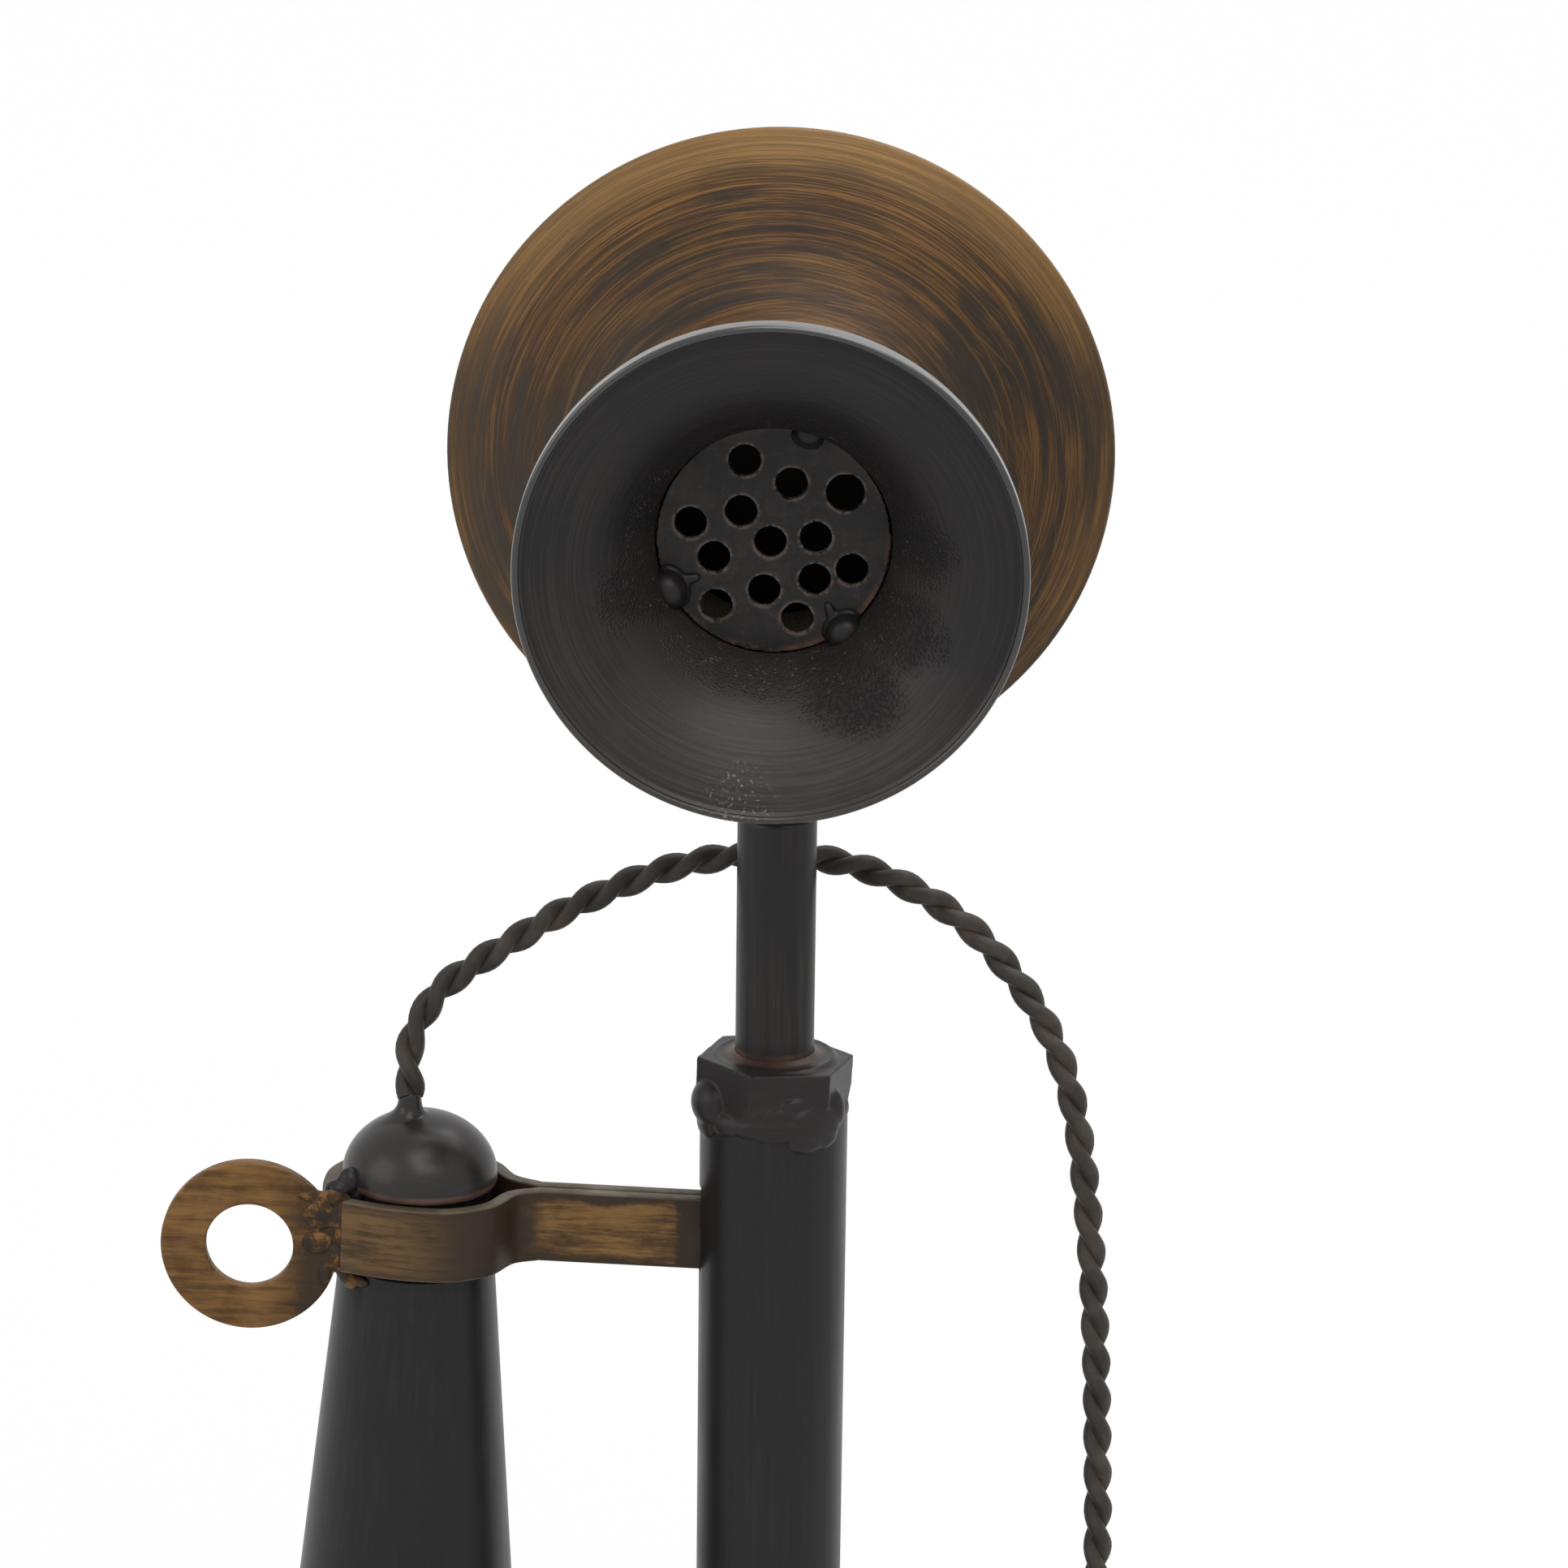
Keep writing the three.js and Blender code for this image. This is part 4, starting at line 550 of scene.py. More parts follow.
def horn_paint(name, matrix):
    """Black paint in brushed rings, sandy round the grille, with a bright lip, painted light low down and
    just below the grille, painted glints low in the mouthpiece and a throat painted pale as if lit.
    """
    shader, colours, place, x, y, z = start(name, matrix)
    radius, turn = ring_streaks(x, y, z, 1.3, 2000)
    streaks = noise(turn, 1.0, 5.0, 0.7)
    clouds = noise(place, 45.0, 5.0, 0.6)
    cracks = noise(place, 420.0, 5.0, 0.7)
    inside = shader.attribute("inside")
    # low is painted light: the paint is lighter and more brushed low in the mouthpiece, where light falls on
    # it.
    low = 1 - zone(y, -36, -10)
    left = 1 - zone(x, -36, -16)
    brushed = band(streaks * 0.7 + clouds * 0.3, 0.44, 0.6) * (0.16 + low * 0.4 + left * 0.2)
    base = mix(brushed + low * 0.45, colours.paint, colours.paint_worn)
    ring = 1 - zone(radius + (clouds - 0.5) * 0.008, GRILLE_RADIUS + 1.4, GRILLE_RADIUS + 5)
    crust = largest(*[patch(x, y, clouds, spot) for spot in SAND_PATCHES])
    sandy = largest(crust, ring * 0.9) * inside
    near = (1 - zone(radius, GRILLE_RADIUS + 1, GRILLE_RADIUS + 13)) * inside
    # Painted light just below the grille, not rubbed paint: the paint there is lightened.
    rubbed = near * (1 - zone(y, -6, 6)) * (1 - crust * 0.7)
    grains = 1 - band(grit(place, 1900.0), 0.1, 0.55)
    specks = (1 - band(grit(place, 1400.0), 0.14, 0.34)) * band(cracks, 0.48, 0.58)
    # Painted glints: bright specks low in the mouthpiece stand in for highlights.
    sparks = band(noise(place, 1500.0, 4.0), 0.56, 0.66)
    glints = patch(x, y, clouds, GLINT_PATCH) * sparks
    # The throat behind the grille is painted pale, as painted light.
    throat = (1 - zone(z, GRILLE_REACH - 3, GRILLE_REACH - 1.5)) * inside
    base = mix(sandy * 0.9, base, [channel * 0.7 for channel in colours.paint])
    base = mix(grains * sandy * 0.2, base, colours.paint_worn)
    # Painted light below the grille.
    base = mix(rubbed * 0.5, base, colours.painted_light_below_grille)
    base = mix(specks * sandy * (0.3 + ring * 0.7), base, colours.speck)
    base = mix(glints * 0.7, base, colours.painted_glint)
    base = mix(throat, base, colours.throat)
    lip = zone(radius, HORN_RADIUS - 1.6, HORN_RADIUS - 0.7)
    relief = streaks * 0.4 + clouds * 0.3 + cracks * (0.2 + low * 0.8) + grains * sandy * 4.5
    return shader.finish(
        base_color=base, roughness=0.34 + clouds * 0.12 + sandy * 0.3 - lip * 0.08,
        coat_weight=lip * (1 - low * 0.7), coat_roughness=0.12,
        normal=bump(relief * (1 - lip * 0.7), 0.15, 0.65),
    )


def grille_paint(name, matrix):
    """Black paint over rust, worn round the holes and reddish along the rim."""
    shader, colours, place, x, y, _ = start(name, matrix)
    clouds = noise(place, 130.0, 5.0, 0.65)
    crust = noise(place, 700.0, 4.0, 0.7)
    rim = zone(length(x, y), GRILLE_RADIUS - 1.3, GRILLE_RADIUS - 0.3)
    low = 1 - zone(y, -12, 4)
    worn = shader.attribute("worn")
    mottled = band(clouds, 0.42, 0.66) * 0.3 + band(crust, 0.52, 0.66) * 0.3
    base = mix(mottled, colours.paint, colours.paint_worn)
    base = mix(worn * band(crust, 0.4, 0.54) * 0.9, base, colours.hole_edge)
    base = mix(rim * (0.1 + low * 0.6) * band(crust + clouds, 0.85, 1.1), base, colours.rust)
    return shader.finish(
        base_color=base, roughness=0.32 + crust * 0.2,
        normal=bump(clouds * 0.7 + crust * 0.5, 0.2, 0.7),
    )


def strip_wash(name):
    """Brass wash brushed along the hook's strips, with dark borders, dark bends and worn edges."""
    shader, colours, place, x, y, z = start(name, hook_place())
    strokes = noise(vector(x * 60, y * 60, z * 900), 1.0, 4.0, 0.65)
    fine = noise(vector(x * 260, y * 260, z * 2600), 1.0, 3.0, 0.6)
    clouds = noise(place, 90.0, 5.0, 0.65)
    ragged = (clouds - 0.5) * 0.012
    height = shader.maths("ABSOLUTE", z)
    half = STRIP_HEIGHT / 2
    inside = 1 - zone(height + ragged * 0.6, half - 2.0, half - 0.6)

    def stretch(begins, full, fades, ends):
        return zone(x + ragged, begins, full) * (1 - zone(x + ragged, fades, ends))

    arm = stretch(*ARM_WASH) * inside
    washed = largest(arm, stretch(*LOOP_WASH) * (0.45 + inside * 0.45))
    brushed = band(strokes * 0.35 + fine * 0.25 + clouds * 0.4, 0.4, 0.58)
    worn = band(clouds * 0.5 + strokes * 0.5, 0.46, 0.6)
    edge = zone(height, half - 0.4, half - 0.05)
    brass = mix(arm, colours.loop_wash, colours.arm_wash)
    base = mix(clouds * 0.5, colours.wash_dark, colours.wash_glaze)
    base = mix(washed * (0.15 + brushed * 0.65), base, brass)
    base = mix(edge * (0.35 + worn * 0.5), base, colours.strip_edge)
    return shader.finish(
        base_color=base, roughness=0.52 - brushed * 0.1, metallic=washed * 0.35,
        normal=bump(strokes * 0.5 + clouds * 0.8, 0.14, 0.6),
    )


def washer_wash(name, matrix):
    """Brass wash brushed straight across the hook's ring, crusted dark beside the weld."""
    shader, colours, place, x, y, z = start(name, matrix)
    strokes = noise(vector(x * 60, y * 700, z * 700), 1.0, 5.0, 0.7)
    clouds = noise(place, 120.0, 5.0, 0.65)
    brushed = band(strokes * 0.6 + clouds * 0.4, 0.38, 0.62)
    side = zone(x + (clouds - 0.5) * 0.01, 3, 12)
    base = mix(0.15 + brushed * 0.7 - side * 0.3, colours.wash_glaze, colours.wash)
    base = mix(brushed * (0.25 - side * 0.2), base, colours.worn_brass_and_highlight)
    base = mix(side * band(clouds, 0.44, 0.54) * 0.85, base, colours.wash_dark)
    return shader.finish(
        base_color=base, roughness=0.5 - brushed * 0.1, metallic=0.3,
        normal=bump(strokes * 0.4 + clouds * 0.8, 0.12, 0.6),
    )


def weld_wash(name):
    """Crusted weld metal that has caught some of the brass wash."""
    shader, colours, place, *_ = start(name)
    clouds = noise(place, 260.0, 5.0, 0.65)
    fine = noise(place, 1100.0, 4.0, 0.6)
    base = mix(band(clouds, 0.4, 0.6), colours.wash_dark, colours.wash_glaze)
    base = mix(band(clouds * 0.6 + fine * 0.4, 0.5, 0.62) * 0.8, base, colours.wash)
    return shader.finish(
        base_color=base, roughness=0.45 + fine * 0.15, metallic=0.2,
        normal=bump(clouds + fine * 0.6, 0.25, 0.7),
    )


def strand_wire(name):
    """Dark drawn wire with rust and dirt in the grooves between the strands."""
    shader, colours, place, *_ = start(name)
    groove = shader.attribute("groove")
    clouds = noise(place, 160.0, 4.0, 0.6)
    fine = noise(place, 1400.0, 2.0, 0.6)
    rust = band(groove * 0.5 + clouds * 0.8, 0.5, 0.8)
    base = mix(band(clouds, 0.4, 0.7) * 0.6, colours.strand, colours.strand_worn)
    base = mix(rust * 0.3, base, colours.rust)
    return shader.finish(
        base_color=base, roughness=0.46 + rust * 0.3 + fine * 0.1,
        normal=bump(fine * 0.5 + clouds * 0.5, 0.08, 0.6),
    )


def plain_metal(name, base, roughness, metallic=0.9):
    """Bare metal with fine drawing marks."""
    shader, _, place, *_ = start(name)
    clouds = noise(place, 180.0, 4.0, 0.6)
    marks = noise(place, 1600.0, 2.0, 0.6)
    dull = [channel * 0.55 for channel in base]
    return shader.finish(
        USUAL_SHINE, base_color=mix(band(clouds, 0.35, 0.75), base, dull), metallic=metallic,
        roughness=roughness + clouds * 0.18, normal=bump(marks, 0.05, 0.4),
    )


def plain_stuff(name, base, roughness, grain, relief):
    """A matt material with a fine grain, such as fibre, rubber or felt."""
    shader, _, place, *_ = start(name)
    clouds = noise(place, grain / 8, 4.0, 0.6)
    hairs = noise(place, grain, 3.0, 0.7)
    light = [min(channel * 1.7, 1) for channel in base]
    return shader.finish(
        USUAL_SHINE, base_color=mix(clouds * 0.5 + hairs * 0.4, base, light),
        roughness=roughness, normal=bump(hairs, relief, 0.7),
    )


# ---- Modelling ----


def moved(x, y, z):
    """A move in millimetres."""
    return Matrix.Translation((x * MM, y * MM, z * MM))


def turned(angle, axis):
    """A turn in degrees."""
    return Matrix.Rotation(radians(angle), 4, axis)


def head_place():
    """The head's own frame: its origin at the bell's rim, its Z out of the mouthpiece, its Y up."""
    tilted = turned(HEAD_YAW, "Z") @ moved(0, 0, TILT_HEIGHT) @ turned(HEAD_TILT, "X")
    return tilted @ moved(0, -HEAD_FORWARD, HEAD_RISE) @ turned(90, "X")


def hook_place():
    """The hook's own frame: its origin on the pivot."""
    return moved(0, 0, HOOK_PIVOT) @ turned(HOOK_LEAN, "Y")


def receiver_place():
    """The receiver's own frame: its origin on the arm's centreline."""
    return hook_place() @ moved(-RECEIVER_OUT, 0, 0)


def arc(across, up, radius, start, end, steps):
    """Corners of an arc about (across, up), from one angle in degrees to another."""
    angles = [radians(start + (end - start) * step / steps) for step in range(steps + 1)]
    return [(across + radius * cos(angle), up + radius * sin(angle)) for angle in angles]


def choose(*pieces):
    """Selects these pieces alone, with the first as the active one."""
    bpy.ops.object.select_all(action="DESELECT")
    for piece in pieces:
        piece.select_set(True)
    bpy.context.view_layer.objects.active = pieces[0]


def settle(piece, matrix=None):
    """Puts a piece in its place, with the place in its mesh."""
    choose(piece)
    if matrix is not None:
        piece.matrix_world = matrix @ piece.matrix_world
    bpy.ops.object.transform_apply()


def added(name):
    """The piece that was just added, with its name and with its place in its mesh."""
    piece = bpy.context.object
    piece.name = name
    settle(piece)
    return piece


def drawn_line(name, corners):
    """One point drawn out through corners in metres, left in edit mode with all selected."""
    bpy.ops.mesh.primitive_plane_add(size=MM, location=corners[0])
    piece = bpy.context.object
    piece.name = name
    bpy.ops.object.mode_set(mode="EDIT")
    bpy.ops.mesh.select_all(action="SELECT")
    bpy.ops.mesh.merge(type="CENTER")
    for before, after in zip(corners, corners[1:]):
        step = Vector(after) - Vector(before)
        bpy.ops.mesh.extrude_vertices_move(TRANSFORM_OT_translate={"value": step})
    bpy.ops.mesh.select_all(action="SELECT")
    return piece


def tidy_surface():
    """Merges doubles and turns the faces outwards, then leaves edit mode."""
    bpy.ops.mesh.select_all(action="SELECT")
    bpy.ops.mesh.remove_doubles(threshold=1e-6)
    bpy.ops.mesh.normals_make_consistent(inside=False)
    bpy.ops.object.mode_set(mode="OBJECT")


def spun(name, profile, segments=ROUND):
    """A piece turned about +Z from (radius, height) corners in millimetres.

    The profile ends on the axis at both ends, or closes on itself."""
    ends_on_axis = profile[0][0] == 0 and profile[-1][0] == 0
    outline = profile if ends_on_axis else [*profile, profile[0]]
    piece = drawn_line(name, [(radius * MM, 0, height * MM) for radius, height in outline])
    bpy.ops.mesh.spin(steps=segments, angle=2 * pi, center=(0, 0, 0), axis=(0, 0, 1))
    tidy_surface()
    return piece


def modify(piece, kind, **settings):
    """Adds a modifier and applies it."""
    choose(piece)
    modifier = piece.modifiers.new(kind.title(), kind)
    for key, value in settings.items():
        setattr(modifier, key, value)
    bpy.ops.object.modifier_apply(modifier=modifier.name)


def soften(piece, width, angle):
    """Rounds the edges of a piece that turn by more than an angle, by a width in metres."""
    modify(piece, "BEVEL", width=width, segments=3, limit_method="ANGLE", angle_limit=radians(angle))


def cut(piece, *tools, operation="DIFFERENCE"):
    """Cuts a piece with tools, or joins them to it, and deletes them."""
    for tool in tools:
        modify(piece, "BOOLEAN", object=tool, operation=operation, solver="EXACT")
        bpy.data.objects.remove(tool)


def bar(name, radius, start, end, segments=48):
    """A round bar between two points in millimetres."""
    along = Vector(end) - Vector(start)
    bpy.ops.mesh.primitive_cylinder_add(
        vertices=segments, radius=radius * MM, depth=along.length * MM,
        location=(Vector(start) + Vector(end)) / 2 * MM, rotation=along.to_track_quat("Z", "Y").to_euler(),
    )
    return added(name)


def box(name, low, high):
    """A block between two corners in millimetres."""
    low, high = Vector(low), Vector(high)
    bpy.ops.mesh.primitive_cube_add(size=1, location=(low + high) / 2 * MM, scale=(high - low) * MM)
    return added(name)


def complete(piece, body, material, node=None, matrix=None, smooth=35):
    """Puts a piece in its place, finishes it and lets it stand for its node."""
    settle(piece, matrix)
    bpy.ops.object.shade_smooth_by_angle(angle=radians(smooth))
    piece.data.materials.clear()
    piece.data.materials.append(material)
    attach(piece, body)
    if node:
        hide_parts(node)


def blacken(piece, body, node, matrix=None, smooth=35, **finish):
    """Completes a piece in black paint."""
    material = black_paint(piece.name + "_paint", matrix or Matrix(), **finish)
    complete(piece, body, material, node, matrix, smooth)


def weld(name, drops):
    """Weld metal: drops of (place, radii, turn about +Z) in millimetres and degrees, run together."""
    made = []
    for place, radii, turn in drops:
        bpy.ops.mesh.primitive_uv_sphere_add(
            segments=24, ring_count=12, radius=MM, location=Vector(place) * MM, scale=radii,
            rotation=(0, 0, radians(turn)),
        )
        made.append(bpy.context.object)
    run_together(made[0], made[1:], WELD_GRAIN, 8)
    made[0].name = name
    return made[0]


def run_together(piece, others, grain, smoothing):
    """Joins others to a piece and remeshes them into one skin, as melted metal runs together."""
    choose(piece, *others)
    bpy.ops.object.join()
    bpy.ops.object.transform_apply()
    melt(piece, grain, smoothing)


def melt(piece, grain, smoothing):
    """Remeshes a piece with even faces, grain millimetres wide, and softens its edges."""
    modify(piece, "REMESH", mode="VOXEL", voxel_size=grain * MM)
    modify(piece, "SMOOTH", factor=0.5, iterations=smoothing)


def note(piece, name, values):
    """Keeps one value for each corner of a piece, for its material to read."""
    piece.data.attributes.new(name, "FLOAT", "POINT").data.foreach_set("value", values)


# ---- The camera and the cord ----


class TELEPHONE_OT_camera(bpy.types.Operator):
    """Sets the photograph's camera"""

    bl_idname = "telephone.camera"
    bl_label = "Camera"

    def execute(self, context):
        back = Vector((0, -cos(radians(ELEVATION)), sin(radians(ELEVATION))))
        aim = back.to_track_quat("Z", "Y").to_matrix().to_4x4()
        bpy.ops.object.camera_add()
        camera = context.object
        camera.name = "photo_camera"
        camera.matrix_world = Matrix.Translation(TARGET + back * DISTANCE) @ aim @ turned(ROLL, "Z")
        camera.data.lens = LENS
        camera.data.sensor_width = 36
        camera.data.clip_end = 50
        context.scene.camera = camera
        return {"FINISHED"}


def smooth_route(points, spacing):
    """A smooth line through points, with its own points an even spacing apart."""
    padded = [points[0] * 2 - points[1], *points, points[-1] * 2 - points[-2]]
    fine = []
    for before, start, end, after in zip(padded, padded[1:], padded[2:], padded[3:]):
        for step in range(24):
            t = step / 24
            fine.append(0.5 * (
                start * 2 + (end - before) * t + (before * 2 - start * 5 + end * 4 - after) * t * t
                + (start * 3 - before - end * 3 + after) * t ** 3
            ))
    fine.append(points[-1])
    even, walked, due = [fine[0]], 0.0, spacing
    for start, end in zip(fine, fine[1:]):
        length = (end - start).length
        while walked + length >= due:
            even.append(start.lerp(end, (due - walked) / length))
            due += spacing
        walked += length
    return even, walked


def frames_along(route):
    """A tangent, a side and an up for each point of a line, turning as little as they can."""
    tangents = [(after - before).normalized() for before, after in
                zip([route[0], *route], [*route[1:], route[-1]])]
    side = tangents[0].orthogonal().normalized()
    frames = []
    for tangent in tangents:
        side = (side - tangent * side.dot(tangent)).normalized()
        frames.append((tangent, side, tangent.cross(side)))
    return frames


def tube(route, radius, sides):
    """Corners and faces of a closed round tube along a line."""
    corners = [point + (side * cos(2 * pi * k / sides) + up * sin(2 * pi * k / sides)) * radius
               for point, (_, side, up) in zip(route, frames_along(route)) for k in range(sides)]
    last = (len(route) - 1) * sides
    faces = [(i + k, i + (k + 1) % sides, i + sides + (k + 1) % sides, i + sides + k)
             for i in range(0, last, sides) for k in range(sides)]
    faces += [tuple(reversed(range(sides))), tuple(range(last, last + sides))]
    return corners, faces


class TELEPHONE_OT_cord(bpy.types.Operator):
    """Lays the cord of two twisted strands from the receiver to the base"""

    bl_idname = "telephone.cord"
    bl_label = "Cord"

    def execute(self, context):
        sizes = context.scene.telephone_sizes
        radius = sizes.strand_diameter / 2
        offset = sizes.cord_diameter / 2 - radius
        points = [Vector(point) * MM for point in CORD_ROUTE]
        route, length = smooth_route(points, sizes.twist / STEPS_PER_TURN)
        frames = frames_along(route)
        corners, faces = [], []
        for phase in (0, pi):
            angles = [phase - 2 * pi * i / STEPS_PER_TURN for i in range(len(route))]
            strand = [point + (side * cos(angle) + up * sin(angle)) * offset
                      for point, (_, side, up), angle in zip(route, frames, angles)]
            strand_corners, strand_faces = tube(strand, radius, STRAND_SIDES)
            faces += [tuple(len(corners) + k for k in face) for face in strand_faces]
            corners += strand_corners
        mesh = bpy.data.meshes.new("cord_strands")
        mesh.from_pydata(corners, [], faces)
        piece = bpy.data.objects.new("cord_strands", mesh)
        context.collection.objects.link(piece)
        per_strand = len(route) * STRAND_SIDES
        note(piece, "groove", [
            1 - (corner - route[(i % per_strand) // STRAND_SIDES]).length / (offset + radius)
            for i, corner in enumerate(corners)])
        choose(piece)
        bpy.ops.object.mode_set(mode="EDIT")
        tidy_surface()
        bpy.ops.object.shade_smooth_by_angle(angle=radians(60))
        mesh.materials.append(strand_wire("strand_wire"))
        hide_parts("cord")
        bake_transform(piece)
        return {"FINISHED"}


# ---- The head ----


def face_profile():
    """The bell: a rolled rim, a sloping brim and a flare into the neck, as a closed wall."""
    neck = THROAT_RADIUS + HORN_WALL + GAP + FACE_WALL
    inside = FACE_RADIUS - BRIM_WIDTH
    radius = (inside - neck) / (1 - sin(BRIM_SLOPE))
    top = FACE_BEAD + BRIM_WIDTH * tan(BRIM_SLOPE)
    centre = (neck + radius, top + radius * cos(BRIM_SLOPE))
    end = centre[1] + NECK_LENGTH
    slope = degrees(BRIM_SLOPE)
    rim = arc(FACE_RADIUS - FACE_BEAD, 0, FACE_BEAD, -120, 90 - slope, 14)
    outer = arc(*centre, radius, -90 - slope, -180, 26)
    inner = arc(*centre, radius + FACE_WALL, -180, -90 - slope, 20)
    return [*rim, *outer, (neck, end), (neck - FACE_WALL, end), *inner]


def cup_profile():
    front = FACE_BEAD + (FACE_RADIUS - CUP_RADIUS) * tan(BRIM_SLOPE) - FACE_WALL / cos(BRIM_SLOPE) - GAP
    edge = (CUP_RADIUS - CUP_EDGE, CUP_EDGE - CUP_DEPTH)
    return [
        (0, -CUP_DEPTH), *arc(*edge, CUP_EDGE, -90, 0, 14), (CUP_RADIUS, front),
        (CUP_RADIUS - CUP_WALL, front), *arc(*edge, CUP_EDGE - CUP_WALL, 0, -90, 12),
        (0, CUP_WALL - CUP_DEPTH),
    ]


def horn_curve(inset, steps):
    """The horn's inner surface from its throat to its fold, drawn in by inset."""
    fold_radius = HORN_RADIUS - HORN_WALL - HORN_FOLD
    wide = (fold_radius - THROAT_RADIUS) / (1 - cos(HORN_FLARE))
    deep = (HORN_REACH - HORN_WALL - GRILLE_REACH) / sin(HORN_FLARE)
    corners = []
    for step in range(steps + 1):
        angle = HORN_FLARE * step / steps
        out = Vector((wide * sin(angle), deep * cos(angle))).normalized()
        corners.append((
            THROAT_RADIUS + wide * (1 - cos(angle)) - inset * out.y,
            GRILLE_REACH + deep * sin(angle) + inset * out.x,
        ))
    return corners


def horn_profile():
    lip = HORN_WALL / 2
    inner = horn_curve(0, 26)
    fold = inner[-1][1]
    rim = arc(HORN_RADIUS - lip, HORN_REACH - lip, lip, 180, 0, 8)
    low = HORN_REACH - HORN_LIP
    return [
        (THROAT_RADIUS, GRILLE_REACH - HORN_TUBE), *inner, (HORN_RADIUS - HORN_WALL - 0.5, fold),
        (HORN_RADIUS - HORN_WALL, fold + 0.4), *rim, (HORN_RADIUS, low + 0.4), (HORN_RADIUS - 0.4, low),
        (HORN_RADIUS - HORN_WALL, low), (HORN_RADIUS - HORN_WALL, fold - HORN_WALL),
        *reversed(horn_curve(-HORN_WALL, 22)), (THROAT_RADIUS + HORN_WALL, GRILLE_REACH - HORN_TUBE),
    ]


class TELEPHONE_OT_bell(bpy.types.Operator):
    """Makes the brass-washed bell and the cup behind it"""

    bl_idname = "telephone.bell"
    bl_label = "Bell"

    def execute(self, context):
        place = head_place()
        bell = spun("bell_disc", face_profile(), WIDE)
        wash = bell_wash("bell_wash", place, FACE_RADIUS)
        complete(bell, "head", wash, "transmitter_face", place)
        cup = spun("bell_cup", cup_profile(), WIDE)
        for y in (-BOSS_CIRCLE, BOSS_CIRCLE):
            cut(cup, bar("hole", BOLT_HOLE, (0, y, -CUP_DEPTH - 2), (0, y, 4 - CUP_DEPTH), 24))
        blacken(cup, "head", "transmitter_back", place)
        return {"FINISHED"}


class TELEPHONE_OT_mouthpiece(bpy.types.Operator):
    """Makes the mouthpiece horn, its grille and the grille's tack welds"""

    bl_idname = "telephone.mouthpiece"
    bl_label = "Mouthpiece"

    def execute(self, context):
        place = head_place()
        horn = spun("horn", horn_profile(), WIDE)
        inward = [float((spot.normal.z + 0.3) * spot.co.xy.length > spot.normal.xy.dot(spot.co.xy))
                  for spot in horn.data.vertices]  # whether it faces the axis or the mouth
        note(horn, "inside", inward)
        complete(horn, "head", horn_paint("horn_paint", place), "mouthpiece_horn", place)
        self.make_grille(place)
        return {"FINISHED"}

    def make_grille(self, place):
        back, front = GRILLE_REACH - GRILLE_THICKNESS, GRILLE_REACH
        grille = spun("grille", [(0, back), (GRILLE_RADIUS, back), (GRILLE_RADIUS, front), (0, front)])
        holes = [(x, y, *radius) if radius else (x, y, GRILLE_HOLE_RADIUS) for x, y, *radius in GRILLE_HOLES]
        for x, y, radius in holes:
            cut(grille, bar("drill", radius, (x, y, back - 1), (x, y, front + 1), 32))
        melt(grille, FINE_GRAIN, 2)
        spots = [spot.co / MM for spot in grille.data.vertices]
        away = [min(hypot(spot.x - x, spot.y - y) - radius for x, y, radius in holes) for spot in spots]
        note(grille, "worn", [max(0, 1 - distance / HOLE_WEAR) for distance in away])
        paint = grille_paint("grille_paint", place)
        complete(grille, "head", paint, "mouthpiece_grille", place)
        air = [(0, back), (THROAT_RADIUS + 0.5, back), *horn_curve(-0.5, 20), (0, HORN_REACH)]
        for number, (angle, size, height, run) in enumerate(GRILLE_TACKS, 1):
            x, y = GRILLE_RADIUS * cos(radians(angle)), GRILLE_RADIUS * sin(radians(angle))
            drops = [
                ((x, y, front + (size - 1.2) * height), (size, size * 1.12, size * 0.9 * height), angle),
                ((x * 0.82, y * 0.82, front + 0.1), (size * run, size * 0.34, size * 0.28), angle - 14),
                ((x * 0.95, y * 0.95, front + 0.2), (size * 0.9, size * 1.3, size * 0.4), angle),
            ]
            tack = weld(f"grille_weld_{number}", [drop for drop in drops if all(drop[1])])
            cut(tack, spun("air", air), operation="INTERSECT")
            blacken(tack, "head", f"grille_tack_{number}", place, 70, gloss=0.36)


# ---- The post, the nut and the column ----


